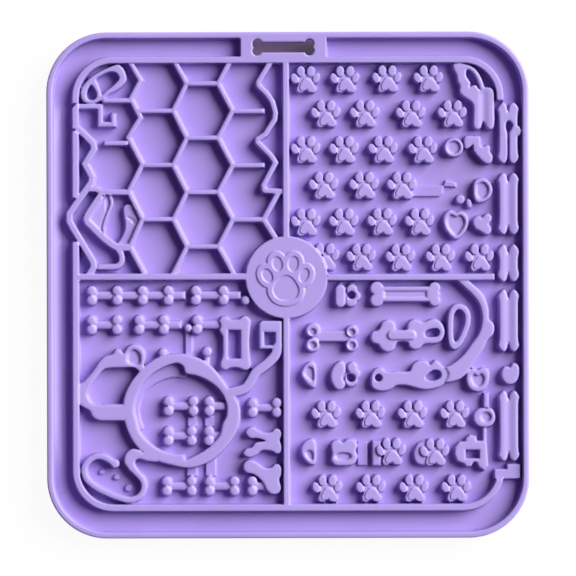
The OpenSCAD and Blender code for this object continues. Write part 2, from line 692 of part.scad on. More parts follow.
module ring_rib_plan() difference() {
    round_patch(ring_outer_shares);
    round_patch(ring_inner_shares);
}
module ring_rib() color(silicone) raised(rib_h) ring_rib_plan();
module ring_step() color(silicone) raised(step_h) intersection() {
    round_patch(ring_inner_shares);
    round_patch(ring_step_shares);
}

// The ear-shaped loop left of the ring
ear_outer_shares = [
    [-58, -36], [-59.8, -33.4], [-59.3, -30], [-59.8, -27.2], [-61.8, -25.2], [-64.4, -24.6],
    [-66.6, -25.8], [-68.2, -28.2], [-69.6, -26.9], [-71.4, -26.6], [-72.8, -28.6], [-76, -29.6],
    [-78.2, -31.6], [-81, -35.8], [-85, -40.2], [-87, -41.6], [-87, -48.2], [-85.2, -50.2],
    [-82.2, -52], [-81.2, -54.2], [-78.4, -55.9], [-73, -56.1], [-66, -56]
];
ear_inner_shares = [
    [-62, -51], [-66, -49.6], [-72, -49.4], [-79, -49.5], [-81.6, -48.6], [-83.2, -46], [-82.9, -43.6],
    [-80, -38.8], [-77, -35.2], [-74.4, -34.2], [-68, -34], [-63.4, -34.2], [-61, -37]
];
ear_dimple_shares = [
    [-66.6, -31.6], [-66.4, -28.4], [-64.6, -26.6], [-62.2, -27.4], [-61.2, -30], [-61.6, -32.6],
    [-64, -33]
];

module ear_plan() difference() {
    polygon(concat(curve(along(ear_outer_shares)), curve(along(ear_inner_shares))));
    ring_rib_plan();
    wall_bottom_plan();
}
module ear_loop() color(silicone) difference() {
    raised(rib_h) difference() {
        ear_plan();
        round_patch(ring_outer_shares);
    }
    translate([0, 0, rib_h - dimple_d]) raised(dimple_d + overrun) round_patch(ear_dimple_shares);
}

// The curled tail below the ring
tail_shares = [
    [-71.9, -74.1], [-74.8, -72], [-77.6, -70.9], [-80.4, -71.2], [-83, -72.9], [-84.6, -76],
    [-83.8, -80], [-80.2, -83.4], [-75.4, -86], [-70.4, -88], [-65.4, -89], [-61.6, -87.5],
    [-59.8, -84], [-60.6, -80.4], [-63.4, -77.4], [-65.8, -74.6]
];
tail_w_share = 2.4;
tail_end_shares = [-71.9, -74, 1.7];
tail_bulb_shares = [
    [-66.8, -75.4], [-68, -73.2], [-67.4, -70], [-65.2, -68.1], [-62.6, -68.2], [-59.4, -70],
    [-54, -73], [-58, -72.9], [-61.6, -71.9], [-63.4, -72.6], [-63.6, -74.4], [-62.4, -76.8],
    [-65, -77.4]
];

module tail_rib() color(silicone) raised(rib_h) difference() {
    union() {
        curve_plan(tail_shares, tail_w_share * share);
        dots([tail_end_shares]);
        round_patch(tail_bulb_shares);
    }
    round_patch(ring_outer_shares);
    wall_bottom_plan();
}

// The arm from the ring up to a square loop
arm_shares = [
    [-4.4, -24], [-5, -28.6], [-8.6, -32.6], [-13.2, -36.2], [-15.8, -40.4], [-18.6, -43.3], [-26, -45]
];
arm_w_share = 3.9;
square_loop_shares = [[-11.9, -26.4], [-2.6, -26.4], [-2.6, -15], [-11, -15], [-11.9, -16]];
square_hole_shares = [[-10, -25.1], [-6, -25.1], [-5.2, -23.6], [-5.2, -19.6], [-10, -19.4]];

module arm_loop() color(silicone) raised(rib_h) difference() {
    union() {
        curve_plan(arm_shares, arm_w_share * share);
        patch(square_loop_shares);
    }
    patch(square_hole_shares);
    round_patch(ring_outer_shares);
    frame_plan();
    medallion_plan();
}

// The bone-cornered frame
frame_shares = [
    [-28.5, -14.9], [-27.4, -13.2], [-25.4, -13.2], [-24, -14.3], [-20.4, -14.3], [-18.8, -13.1],
    [-16.8, -13.2], [-15.6, -15.2], [-15.9, -18.4], [-16.2, -24], [-15.9, -30], [-15.5, -33.2],
    [-16.7, -35], [-18.8, -35], [-20.4, -34.2], [-24, -34.2], [-25.8, -35.1], [-27.7, -34.3],
    [-28, -32], [-27.1, -29.6], [-26.9, -25], [-27.1, -21], [-28.4, -18.9], [-27.8, -16.8]
];
frame_hole_shares = [[-25, -18.6], [-19.6, -18.6], [-19.6, -30.6], [-25, -30.6]];

module frame_plan() difference() {
    round_patch(frame_shares);
    patch(frame_hole_shares);
}
module frame_rib() color(silicone) raised(stud_h) frame_plan();

// Two short bones beside the lower divider
side_bone_a_shares = [
    [-17.5, -61.4], [-16.7, -59.5], [-14.8, -58.9], [-12.8, -60.1], [-10.2, -61.2], [-7, -61.1],
    [-5.5, -59.8], [-3.6, -60], [-2.8, -62], [-3.6, -64.4], [-2.8, -67], [-3.2, -69.4], [-5, -69.9],
    [-6.9, -68.7], [-11, -68.6], [-13.4, -70.5], [-16.4, -71.4], [-18.5, -70], [-17.5, -68.1],
    [-15.2, -67.5], [-13.4, -65.5], [-9.4, -64.8], [-12.6, -63.5], [-15.6, -63.4]
];
side_bone_b_shares = [
    [-18.6, -75.4], [-17.6, -73.2], [-15.2, -72.7], [-12.6, -74.1], [-10.2, -75.8], [-7.2, -75.9],
    [-5.6, -74.5], [-3.7, -74.7], [-2.8, -76.6], [-3.1, -79], [-3.9, -81], [-3, -84], [-4.1, -86.3],
    [-6.8, -86.7], [-9, -84.9], [-10.5, -81.9], [-12.3, -79.9], [-14.5, -78.4], [-17.5, -77.6]
];

module side_bones_plan() {
    round_patch(side_bone_a_shares);
    round_patch(side_bone_b_shares);
}
module side_bones() color(silicone) raised(stud_h) side_bones_plan();

// Lower right panel: the long bone with a channel, and the bone with ringed lobes
long_bone_lobes_shares = [[36.9, -1.4, 2.7], [36.9, -6.3, 2.65], [60.9, -1.3, 2.3], [61, -6.6, 2.25]];
long_bone_shaft_shares = [36.4, 61, -6.9, -0.85];
long_bone_middle_shares = [[62, -6.6], [63.2, -4], [62, -1.3], [60, -1.3], [60, -6.6]];
long_bone_channel_shares = [40, 57.6, -5.3, -2.5];
channel_d = 0.7;
ringed_lobes_shares = [[10.4, -18.7, 2.8], [10.3, -24.9, 2.7], [26.6, -19.3, 2.4], [26.5, -25, 2.45]];
ringed_dimples_shares = [[10.2, -19.5, 1.5], [10.2, -25, 1.5], [26.4, -19.7, 1.45], [26.5, -25.1, 1.5]];
ringed_shaft_shares = [10, 26.6, -23.4, -19.2];

module long_bone() color(silicone) difference() {
    raised(stud_h) {
        dots(long_bone_lobes_shares);
        box_plan(long_bone_shaft_shares);
        patch(long_bone_middle_shares);
    }
    translate([0, 0, stud_h - channel_d]) raised(channel_d + overrun) box_plan(long_bone_channel_shares);
}
module ringed_bone() color(silicone) {
    difference() {
        raised(stud_h) dots(ringed_lobes_shares);
        translate([0, 0, stud_h - dimple_d]) raised(dimple_d + overrun) dots(ringed_dimples_shares);
    }
    raised(bar_h) difference() {
        box_plan(ringed_shaft_shares);
        dots(ringed_lobes_shares);
    }
}

// A pair of links with a pill across them, and a teardrop loop
double_link_shares = [
    [34.4, -21.7], [35.2, -19.6], [37.3, -19], [38.6, -17.4], [39.3, -15.6], [41.6, -14.7], [44.1, -16],
    [45, -18.7], [49.2, -18.8], [49.9, -16.2], [51.6, -14.6], [54, -14.8], [56.4, -15.6], [60.4, -14.2],
    [63.5, -15.8], [65, -19.2], [64, -22.6], [61.4, -24.2], [56.6, -24.5], [54.7, -26.2], [52.6, -26.8],
    [50.5, -25.6], [49.6, -23.7], [45.4, -23.8], [43.9, -26.8], [41.4, -27.8], [38.9, -26.6],
    [37.5, -24.6], [35.4, -23.9]
];
double_link_hole_shares = [
    [57, -19.4], [59.2, -18.3], [61.8, -18.1], [63, -19.5], [62.2, -21.4], [59.6, -21.9], [57.2, -21.5]
];
link_pill_shares = [[43.2, -20.9], [51.2, -20.9]];
link_pill_w_share = 3.8;
link_pill_h = 0.7;
teardrop_shares = [
    [71, -8], [74.2, -9.4], [75.7, -12.6], [75.4, -17], [73.8, -21.4], [71.6, -25.4], [69, -26.9],
    [66.9, -24.6], [66.3, -18.6], [66.6, -12.6], [68.2, -9]
];
teardrop_hole_shares = [
    [71, -10.2], [73.2, -11.9], [73.5, -15.6], [72, -20], [70, -23.7], [68.7, -22.6], [68.5, -17],
    [69, -12]
];

module double_link() color(silicone) {
    raised(stud_h) difference() {
        round_patch(double_link_shares);
        round_patch(double_link_hole_shares);
    }
    translate([0, 0, stud_h]) raised(link_pill_h) {
        line_plan(link_pill_shares, link_pill_w_share * share);
        for (p = link_pill_shares) dots([[p[0], p[1], link_pill_w_share / 2]]);
    }
}
module teardrop_loop() color(silicone) raised(rib_h) difference() {
    round_patch(teardrop_shares);
    round_patch(teardrop_hole_shares);
}

// The bowed strap and the chain that it runs into
strap_outer_shares = [
    [72.4, 3.6], [76.6, 0.2], [79.9, -3], [82, -6.4], [83.2, -10.4], [83.4, -14.4], [85, -15.9],
    [85.6, -18.4], [84.8, -21], [82.8, -23], [81.3, -26.2], [78.6, -30.4], [76, -34], [74, -36.9],
    [71, -39.2], [66.6, -40.4], [62, -40]
];
strap_inner_shares = [
    [60, -36], [65.6, -34.3], [69, -32.5], [73, -29], [76.2, -24.8], [79.2, -20.6], [80.6, -16],
    [80.5, -11.4], [79.4, -7.8], [77, -4.4], [73.4, -1], [68.4, 3.6]
];
chain_shares = [
    [34.5, -40], [34.8, -37], [36.4, -34.9], [38.8, -34.7], [40.8, -36.1], [45, -36.1], [50.4, -36],
    [51.8, -33.2], [54.4, -31.6], [57.4, -32], [59, -33.4], [60.8, -31.6], [62.4, -32.2], [63.6, -33.6],
    [65.6, -34.8], [66.6, -37.2], [65.6, -39.8], [63.8, -41.8], [60.6, -43], [56.6, -43.4], [53, -42.6],
    [49, -41.6], [45, -41.7], [42.6, -43.3], [39.6, -44], [36.4, -43.5], [34.8, -42]
];
chain_hole_shares = [
    [56.8, -38.6], [58.4, -36.6], [60.8, -35.3], [63.2, -36.1], [63.4, -38.2], [61.4, -39.7],
    [58.6, -39.9]
];
chain_eye_shares = [37.5, -38.6, 1.6];

module strap_rib() color(silicone) raised(rib_h) difference() {
    polygon(concat(curve(along(strap_outer_shares)), curve(along(strap_inner_shares))));
    round_patch(chain_shares);
    round_patch(eye_heart_shares);
    divider_right_plan();
}
module chain_rib() color(silicone) raised(stud_h) difference() {
    round_patch(chain_shares);
    round_patch(chain_hole_shares);
    dots([chain_eye_shares]);
}

// The buckle column: heart, strap, eyelet and buckle
eye_heart_shares = [
    [74.1, -38.4], [74.9, -35.9], [76.8, -34.9], [78.6, -35.6], [80.2, -34.8], [82.4, -35], [83.5, -37],
    [83.2, -40.4], [81.6, -43.4], [79, -44.4], [76, -43.4], [74.4, -41.2]
];
eye_heart_hollow_shares = [
    [76, -38.6], [77.2, -37], [78.6, -37.7], [80.2, -36.9], [81.5, -38.4], [81.1, -40.8], [79.2, -42.4],
    [77, -41.4]
];
buckle_straps_shares = [[81.2, 83.3, -51, -45.2], [80.8, 82.3, -64.9, -58]];
eyelet_shares = [
    [77, -55.4], [77.7, -52.8], [79.8, -51.4], [82, -51.6], [84.2, -51.5], [85.7, -53.6], [85.7, -56.4],
    [84, -58.6], [81, -59], [78.2, -58]
];
eyelet_hollow_shares = [82.2, -54.9, 2.1];
buckle_shares = [
    [69.1, -70.4], [69.4, -67.4], [70.8, -65.4], [73.6, -65], [73.8, -63.6], [75.4, -62.4], [77.8, -63],
    [78.3, -65], [82.3, -65], [82.6, -70], [82.9, -75.4], [81.4, -77.2], [79.2, -75.6], [78.2, -73.6],
    [76.9, -73.6], [75.8, -75.4], [74, -75.5], [72.9, -74.2], [70.2, -73.2]
];
buckle_hole_shares = [73.6, 79.4, -72.2, -68.5];

module eyelet_plan() round_patch(eyelet_shares);
module buckle_studs() color(silicone) {
    rimmed_stud(eye_heart_shares, eye_heart_hollow_shares);
    difference() {
        raised(stud_h) eyelet_plan();
        translate([0, 0, stud_h - dimple_d]) raised(dimple_d + overrun) dots([eyelet_hollow_shares]);
    }
    raised(stud_h) difference() {
        patch(buckle_shares);
        box_plan(buckle_hole_shares);
    }
    raised(bar_h) difference() {
        for (strap_shares = buckle_straps_shares) box_plan(strap_shares);
        eyelet_plan();
        patch(buckle_shares);
        round_patch(eye_heart_shares);
    }
}

// Lower right: treats between the paws
pill_shares = [[21.8, -2], [21.8, -7.2]];
pill_w_share = 4;
flower_shares = [[26.6, -2, 2.1], [28.2, -4.7, 2], [26.3, -6.7, 2.3]];
flower_hole_shares = [26.4, -4.2, 1.7];
wedge_shares = [
    [9.4, -31.9], [11.2, -33], [11.6, -36], [11.7, -40], [11, -42.6], [9, -41.8], [6.9, -39.6],
    [5.6, -37.2], [6.1, -35], [7.5, -33]
];
wedge_hollow_shares = [
    [8.8, -33.8], [10.4, -34.8], [10.8, -37.4], [10.2, -39.8], [8.2, -38.6], [6.8, -37], [7.4, -35]
];
moon_shares = [
    [9.6, -64], [11.2, -65.4], [11.6, -69.4], [11.4, -73.4], [10.2, -74.7], [7.8, -73.3], [5.9, -70.8],
    [5.5, -68], [6.8, -65.4]
];
moon_hollow_shares = [[9.4, -68.6], [10.4, -70], [10.2, -72.6], [8.4, -72], [7.2, -70], [7.8, -68.8]];
crescent_shares = [
    [21.4, -31.8], [23.4, -33], [23.7, -35.8], [22.6, -38.4], [23.6, -41.4], [22.4, -43.2],
    [20.4, -43.2], [18.5, -40.8], [17.8, -37.6], [18.8, -34.2]
];
clover_shares = [[26.6, -34.2, 2], [27.6, -37.2, 2.2], [26.2, -39.6, 2.6]];
clover_hole_shares = [26.1, -38.6, 1.8];
cloud_shares = [
    [17.9, -66.6], [18.7, -65], [20.8, -64.5], [22.7, -65.5], [24.6, -64.1], [27.3, -64.5],
    [28.5, -66.8], [27.9, -69], [28.5, -71.6], [27, -74.4], [23.6, -74.9], [19.6, -74.6], [17.9, -72.6],
    [18.4, -70.2]
];
cloud_hollow_shares = [
    [19.4, -71.2], [20.6, -69.8], [23.6, -69.6], [25.8, -70.2], [26, -71.8], [24, -72.7], [20.8, -72.6]
];
short_bar_shares = [35, 38.4, -75, -64.8];
low_bar_shares = [29, 32.8, -74.9, -65.4];
half_moon_shares = [
    [56.6, -65.2], [54, -66], [52.5, -68.8], [52.4, -71.6], [53.6, -74], [56.4, -74.8], [58.4, -73.6],
    [57.6, -70], [58.4, -66.4]
];

module treat_studs_lower() color(silicone) {
    raised(stud_h) {
        line_plan(pill_shares, pill_w_share * share);
        for (p = pill_shares) dots([[p[0], p[1], pill_w_share / 2]]);
    }
    raised(stud_h) difference() {
        dots(flower_shares);
        dots([flower_hole_shares]);
        line_plan(pill_shares, pill_w_share * share);
        for (p = pill_shares) dots([[p[0], p[1], pill_w_share / 2]]);
    }
    rimmed_stud(wedge_shares, wedge_hollow_shares);
    rimmed_stud(moon_shares, moon_hollow_shares);
    raised(stud_h) round_patch(crescent_shares);
    raised(stud_h) difference() {
        dots(clover_shares);
        dots([clover_hole_shares]);
        round_patch(crescent_shares);
    }
    rimmed_stud(cloud_shares, cloud_hollow_shares);
    raised(step_h) box_plan(low_bar_shares);
    raised(bar_h) difference() {
        union() {
            box_plan(short_bar_shares);
            round_patch(half_moon_shares);
        }
        paw_plan(paws_lower_shares[4]);
        paw_plan(paws_lower_shares[5]);
    }
}

// The stepped block at the end of the lower wall
corner_block_shares = [
    [85.6, -80.6], [96.3, -80.6], [96.3, -74.6], [90.9, -74.6], [90.9, -76.7], [85.6, -76.7]
];
module corner_block() color(silicone) raised(bar_h) patch(corner_block_shares);

// Suction cups under the sheet
cup_margin_share = 0.09;
cup_dome_share = 0.45;
module suction_cup() rotate_extrude() polygon([
    [0, cup_h], [cup_neck_r, cup_h], [cup_neck_r, cup_h - cup_skirt_t], [cup_r, 0],
    [cup_r - cup_skirt_t, 0], [cup_neck_r - cup_skirt_t, (cup_h - cup_skirt_t) * cup_dome_share],
    [0, cup_h - cup_skirt_t]
]);
module suction_cups() color(silicone) {
    span_x = mat_w * (1 - 2 * cup_margin_share);
    span_y = mat_l * (1 - 2 * cup_margin_share);
    for (i = [0 : cups_across - 1], j = [0 : cups_across - 1])
        translate([span_x * (i / (cups_across - 1) - 1 / 2), span_y * (j / (cups_across - 1) - 1 / 2), 0])
            suction_cup();
}

base_sheet();
outer_rim();
hanger_bridge();
inner_wall_top();
inner_wall_left();
inner_wall_bottom();
divider_upper();
divider_lower();
divider_left();
divider_right();
centre_medallion();
medallion_paw();
honeycomb_rib_left();
honeycomb_rib_middle();
honeycomb_rib_right();
honeycomb_bars();
zigzag_rib();
corner_loop();
diagonal_rib();
pentagon_loop();
pentagon_steps();
paw_studs_upper();
corner_bone();
border_bones();
treat_studs_upper();
barbell_studs();
ring_rib();
ring_step();
ear_loop();
tail_rib();
arm_loop();
frame_rib();
side_bones();
low_strips();
long_bone();
ringed_bone();
double_link();
teardrop_loop();
strap_rib();
chain_rib();
buckle_studs();
treat_studs_lower();
paw_studs_lower();
corner_block();
suction_cups();
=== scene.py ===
"""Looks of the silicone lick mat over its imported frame.

The moulded top is one continuous surface. Its height map is read from the tops of the CAD nodes,
then rounded and softened as moulded silicone is, and cut back into one piece for each node.
Lengths of the map, the surface and the cups are in mm, and those of the floor and the camera in m.
"""
import math

import bmesh
import bpy
import numpy as np
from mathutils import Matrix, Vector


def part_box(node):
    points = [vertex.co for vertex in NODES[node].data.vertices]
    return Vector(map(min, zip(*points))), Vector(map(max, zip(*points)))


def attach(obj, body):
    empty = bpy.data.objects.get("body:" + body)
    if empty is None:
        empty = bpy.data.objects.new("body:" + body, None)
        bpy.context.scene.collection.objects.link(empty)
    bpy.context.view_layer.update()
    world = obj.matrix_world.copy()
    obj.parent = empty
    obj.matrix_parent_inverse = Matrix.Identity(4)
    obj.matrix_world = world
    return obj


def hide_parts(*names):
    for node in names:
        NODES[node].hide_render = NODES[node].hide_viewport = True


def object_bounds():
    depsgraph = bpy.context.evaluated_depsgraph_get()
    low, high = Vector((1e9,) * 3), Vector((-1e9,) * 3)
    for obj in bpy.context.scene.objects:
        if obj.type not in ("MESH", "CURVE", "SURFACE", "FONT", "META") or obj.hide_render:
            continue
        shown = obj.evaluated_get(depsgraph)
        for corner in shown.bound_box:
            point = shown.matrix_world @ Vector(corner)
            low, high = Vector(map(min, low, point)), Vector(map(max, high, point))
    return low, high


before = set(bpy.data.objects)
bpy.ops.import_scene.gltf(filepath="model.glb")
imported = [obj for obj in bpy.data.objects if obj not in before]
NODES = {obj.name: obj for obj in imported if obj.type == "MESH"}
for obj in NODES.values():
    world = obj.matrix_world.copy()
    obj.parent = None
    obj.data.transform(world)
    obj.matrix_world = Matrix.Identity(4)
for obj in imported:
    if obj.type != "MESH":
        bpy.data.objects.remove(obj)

CAD_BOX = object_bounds()
SHEET = "base_sheet"
CUPS = "suction_cups"
RIM = "outer_rim"
MM = 1000
TINY = 1e-9

# The height map: its cells' size, its margin round the sheet, and how far its distances reach
CELL = 0.125
MARGIN = 2.0
REACH = 2.0
# The blur of the finished map and how many of it reach each way, and how much wider each form is than its
# flat CAD top
SOFT = 0.11
BLUR_REACH = 3
GROW = 0.2
# A cell that is covered less than this is off the sheet
COVERED = 1e-3
# Flat tops: the least upward share of a face's normal, how close the heights of one level are, how far apart
# levels are, and the decimals that welded points and levels are rounded to
UPWARD = 0.99
SAME_LEVEL = 0.02
NEXT_LEVEL = 0.1
POINT_DECIMALS = 3
LEVEL_DECIMALS = 2
# An outline edge is read in bits of this length, on both sides at this distance
SPLIT = 0.3
ASIDE = 0.18

# Kinds of height, the nodes whose tops give the levels above the sheet, and where the limits between levels
# lie as shares of the way up
OUTSIDE, ON_SHEET, STEP, BAR, STUD, RIB, WALL, BAND = range(8)
LEVEL_NODES = ("ring_step", "corner_block", "paw_studs_upper", "ring_rib", RIM, "medallion_paw")
LIMIT_SHARES = (0.5, 0.5, 0.6, 0.55, 0.5, 0.6, 0.5)

# Rounded tops: how far in from the edge the rounding reaches, and its depth as a share of that
CROWN_STEP = (0.4, 0.5)
CROWN_OTHER = (0.8, 0.75)
CROWNS = [
    ((0.7, 0.75), ("inner_wall_top", "inner_wall_left", "inner_wall_bottom", "divider_upper", "divider_lower",
                   "divider_left", "divider_right", "centre_medallion")),
    ((0.6, 0.75), ("hanger_bridge", "corner_block")),
    ((0.5, 0.75), ("ring_step", "low_strips", "medallion_paw")),
    ((1.7, 0.55), ("barbell_studs",)),
    ((1.2, 0.25), ("paw_studs_upper", "paw_studs_lower")),
    ((1.1, 0.7), ("border_bones", "corner_bone")),
    ((1.3, 0.35), ("ring_rib", "tail_rib", "ear_loop", "arm_loop", "frame_rib", "strap_rib", "double_link",
                   "side_bones", "buckle_studs", "treat_studs_upper", "treat_studs_lower", "long_bone")),
]
CROWN = {name: crown for crown, group in CROWNS for name in group}

# Narrow gaps that the mould doesn't cut down to the sheet: their widest half width, and how far below the
# node's top they end. The pentagon's are those above a place along y.
WEB = {"paw_studs_upper": (1.8, 0.6), "paw_studs_lower": (1.8, 0.6), "pentagon_steps": (1.0, 0.3),
       "pentagon_loop": (1.0, 1.8), "treat_studs_lower": (1.25, 1.8)}
PENTAGON_WEB_Y = 12.0
# A paw's pad is wider than its toes, and a pad that the medallion hides in part is narrower than a whole one
PAD_WIDTH = 4.5
WHOLE_PAD = 6.0
# The web between a pad and its toes is inside an ellipse: its half axes, and its middle below the pad's top
WEB_HALF = (4.0, 2.6)
WEB_BELOW = 0.6
# A whole pad has a low lip on its lower left side, and a groove between the two
LIP_SHIFT = (1.0, 0.6)
LIP_PAST_MIDDLE = 0.3
LIP_SPREAD = 0.2
LIP_DROP = 0.32
GROOVE_SPREAD = 0.13
GROOVE_SHARE = 0.6
# Valley between the two ridges of an upright bone: its node, middle, half width, depth, and stretch along y
VALLEYS = [("border_bones", 91.8, 2.7, 0.3, (-80, -42)), ("border_bones", 91.8, 2.7, 0.3, (-32, 48.5)),
           ("border_bones", 91.65, 0.6, 2.0, (46, 62)), ("corner_bone", 81.4, 2.7, 0.35, (60, 82))]
VALLEY_END = 3.0
VALLEY_ABOVE = 2.0
# The curved ridge inside the pentagon is low: the corners of its place, and its top
LOW_RIDGE = ((-77.0, 23.5), (-71.8, 37.3), 9.1)
# Draft of the rim's inner side along the left gutter: run, rise, half its length, and the length of its ends
DRAFT = (3.6, 2.8, 84.0)
DRAFT_END = 30.0

# The surface: its grid, how far it goes round a form, and how far the finer grid of small studs goes
GRID = 0.85
ROUND_FORM = 1.3
ROUND_STUD = 0.9
STUDS = ("paw_studs", "barbell", "treat_studs", "border_bones", "corner_bone", "buckle", "side_bones",
         "double_link", "ringed_bone", "long_bone", "medallion_paw", "pentagon", "low_strips",
         "ring_step", "diagonal_rib")
# Rows of points at these distances from each kind of outline, above zero on its higher side
KNOTS = {
    "plate": (0, 0.09, 0.28, 0.6),
    "tall": (-0.2, -0.38, -0.02, -0.7, 0.3, 0.8),
    "low": (-0.2, -0.4, 0.05),
    "knob": (-0.2, -0.4, 0.05),
    "rib": (-0.35, 0),
    "wall": (-0.35, 0),
    "band": (-0.2, -0.45, 0.1),
    "valley": (0, -0.35, 0.35, -0.8, 0.8, -1.4, 1.4),
}
# Where an edge meets a row: the rounds of the search, the share of the edge that it keeps off the ends, how
# close to the row is good enough, how close to an end the end is moved instead, and the farthest distance
# that is used
ROUNDS = 4
KEEP_OFF = 0.02
ON_ROW = 0.03
END_MOVES = 0.045
ROW_REACH = 0.85 * REACH
# The least doubled area of a triangle whose point is moved
LEAST_AREA = 1e-4
# The outline of the sheet: how close to it the surface's edge is, the longest move onto it, and how far in
# from it a triangle's node is read
NEAR_OUTLINE = 0.3
OUTLINE_MOVE = 0.1
READ_INSIDE = 0.25
# The surface ends where it is this close to the sheet, and its edge is sunk this deep
ENDS_AT = 0.008
SUNK = 0.03
# The share of the map's normal in the normals along the sheet's outline
UP_SHARE = 0.5

# The silicone's tone with painted shade on the sheet and painted light on raised parts, and the cloud's
# darkest and palest share of it
# Painted shade on the sheet and painted light on raised parts: the tone changes with height
TONE_LOW_WITH_PAINTED_SHADE = (0.358, 0.255, 0.655, 1)
TONE_RAISED_WITH_PAINTED_LIGHT = (0.385, 0.299, 0.700, 1)
CLOUD_DARK = (0.960, 0.950, 0.975, 1)
CLOUD_PALE = (1.035, 1.045, 1.025, 1)
# A wide noise for the tone and a fine one for the gloss and the bump, and the span of their values in use
CLOUD = {"Scale": 22, "Detail": 3, "Roughness": 0.5}
GRAIN = {"Scale": 900, "Detail": 2, "Roughness": 0.6}
NOISE_SPAN = (0.3, 0.7)
ROUGHNESS = (0.46, 0.58)
GRAIN_BUMP = {"Strength": 0.25, "Distance": 0.00005}
SPECULAR = 0.8
IOR = 1.5

# The cups: how many sides, how far a cup's lip is at most from one of its points and from its middle, the
# neck's radius as a share of the lip's, and how high the points of the lip are
CUP_SIDES = 36
CUP_WIDTH = 20
CUP_HALF = 9
NECK_SHARE = 0.6
LIP_DEPTH = 0.01
# A cup's profile down its outside to the lip, then up its hollow: what each radius starts from, how much
# larger it is than that, and its height as a share of the cup's and as a step from there
CUP_PROFILE = [
    ("neck", 0.55, 1, 0), ("neck", 0.18, 1, -0.12), ("neck", 0, 1, -0.45), ("neck", 0.05, 1, -0.95),
    ("neck", 0.75, 1, -1.5), ("lip", -1.15, 0.26, 0), ("lip", -0.25, 0.09, 0), ("lip", 0, 0.035, 0),
    ("lip", -0.1, 0, 0.01), ("lip", -0.42, 0, 0), ("lip", -0.85, 0.05, 0), ("lip", -2, 0.2, 0),
    ("lip", -3.6, 0.38, 0), ("lip", -5.3, 0.52, 0), ("middle", 0.6, 0.58, 0),
]
# The sheet's rounded lower edge, how close its welded points are, and its sharpest smooth corner in degrees
ROUND_EDGE = 0.0006
WELD = 1e-6
SMOOTH_UNDER = 35

# Painted shade on the floor under the mat: how far inside the mat's outline it ends, and its corners' radius
SHADE_INSET = 0.0015
SHADE_CORNER = 0.022
# Tones of the open floor and of the painted shade under the mat, and the share of plain white that the camera
# sees
FLOOR_TONE = (0.93, 0.93, 0.93, 1)
# Painted shade: the dark tone given to the floor under the mat
SHADE_TONE = (0.24, 0.12, 0.27, 1)
FLOOR_WHITE = 0.95
SHADE_WHITE = 0.05
FLOOR_HALF = 2.5
FLOOR_CELLS = 8
FLOOR_ROUGHNESS = 0.9
FLOOR_SPECULAR = 0.1

# One soft sun and a weak fill, with degrees for the angles, and the camera at the photo's viewing angle
SUN_ENERGY = 6.0
SUN_ANGLE = 48
SUN_ELEVATION = 35
SUN_BEARING = 28
FILL_COLOUR = (1, 0.5, 1, 1)
FILL_STRENGTH = 0.06
LENS = 300
SENSOR = 36
EYE_PLACE = (0.0001, -0.00122, 2.0014)
EYE_TURN = -0.136


def top(name):
    """The height of a node's top in mm."""
    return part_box(name)[1][2] * MM


LOW = np.array([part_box(SHEET)[0][i] * MM - MARGIN for i in (0, 1)])
HIGH = np.array([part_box(SHEET)[1][i] * MM + MARGIN for i in (0, 1)])
COLS, ROWS = (int(math.ceil((HIGH[i] - LOW[i]) / CELL)) for i in (0, 1))
CELL_X = LOW[0] + (np.arange(COLS) + 0.5) * CELL
CELL_Y = (LOW[1] + (np.arange(ROWS) + 0.5) * CELL)[:, None]
FLOOR = top(SHEET)
LEVELS = [0, FLOOR] + [top(name) for name in LEVEL_NODES]
NAMES = sorted(n for n in NODES if n not in (SHEET, CUPS))


# Triangles and edges
def sides(tri):
    """The directed edges of triangles: all the first ones, then all the second, then all the third."""
    return np.concatenate([tri[:, [0, 1]], tri[:, [1, 2]], tri[:, [2, 0]]])


def lone(e):
    """The indices of the edges that occur once."""
    _, first, count = np.unique(np.sort(e, axis=1), axis=0, return_index=True, return_counts=True)
    return first[count == 1]


def undirected(tri):
    """Each edge of the triangles once, its lower point first."""
    return np.unique(np.sort(sides(tri), axis=1), axis=0)


def islands(e, n):
    """A number for each point, the same for points that the edges join."""
    number = np.arange(n)
    while True:
        low = np.minimum(number[e[:, 0]], number[e[:, 1]])
        if (number[e[:, 0]] == low).all() and (number[e[:, 1]] == low).all():
            return number
        np.minimum.at(number, e[:, 0], low)
        np.minimum.at(number, e[:, 1], low)


def top_faces(obj):
    """The node's upward flat faces: welded points in mm, triangles and their heights."""
    mesh = obj.data
    mesh.calc_loop_triangles()
    co = np.empty(len(mesh.vertices) * 3, np.float32)
    mesh.vertices.foreach_get("co", co)
    co = co.reshape(-1, 3).astype(float) * MM
    tri = np.empty(len(mesh.loop_triangles) * 3, np.int32)
    mesh.loop_triangles.foreach_get("vertices", tri)
    tri = tri.reshape(-1, 3)
    rounded = np.round(co, POINT_DECIMALS)
    _, first, inverse = np.unique(rounded, axis=0, return_index=True, return_inverse=True)
    co = co[first]
    tri = inverse.ravel()[tri]
    a, b, c = co[tri[:, 0]], co[tri[:, 1]], co[tri[:, 2]]
    n = np.cross(b - a, c - a)
    size = np.linalg.norm(n, axis=1)
    up = (size > TINY) & (n[:, 2] > UPWARD * size)
    tri = tri[up]
    return co, tri, co[tri[:, 0], 2]


# Cells of the map
def cells(p):
    """Row and column of the cells that points in mm are in."""
    q = np.floor((p - LOW) / CELL).astype(int)
    return np.clip(q[:, 1], 0, ROWS - 1), np.clip(q[:, 0], 0, COLS - 1)


def window(low, high):
    """The map's cells between two corners in mm."""
    (i0, j0), (i1, j1) = (((np.array(q) - LOW) / CELL).astype(int) for q in (low, high))
    return slice(j0, j1), slice(i0, i1)


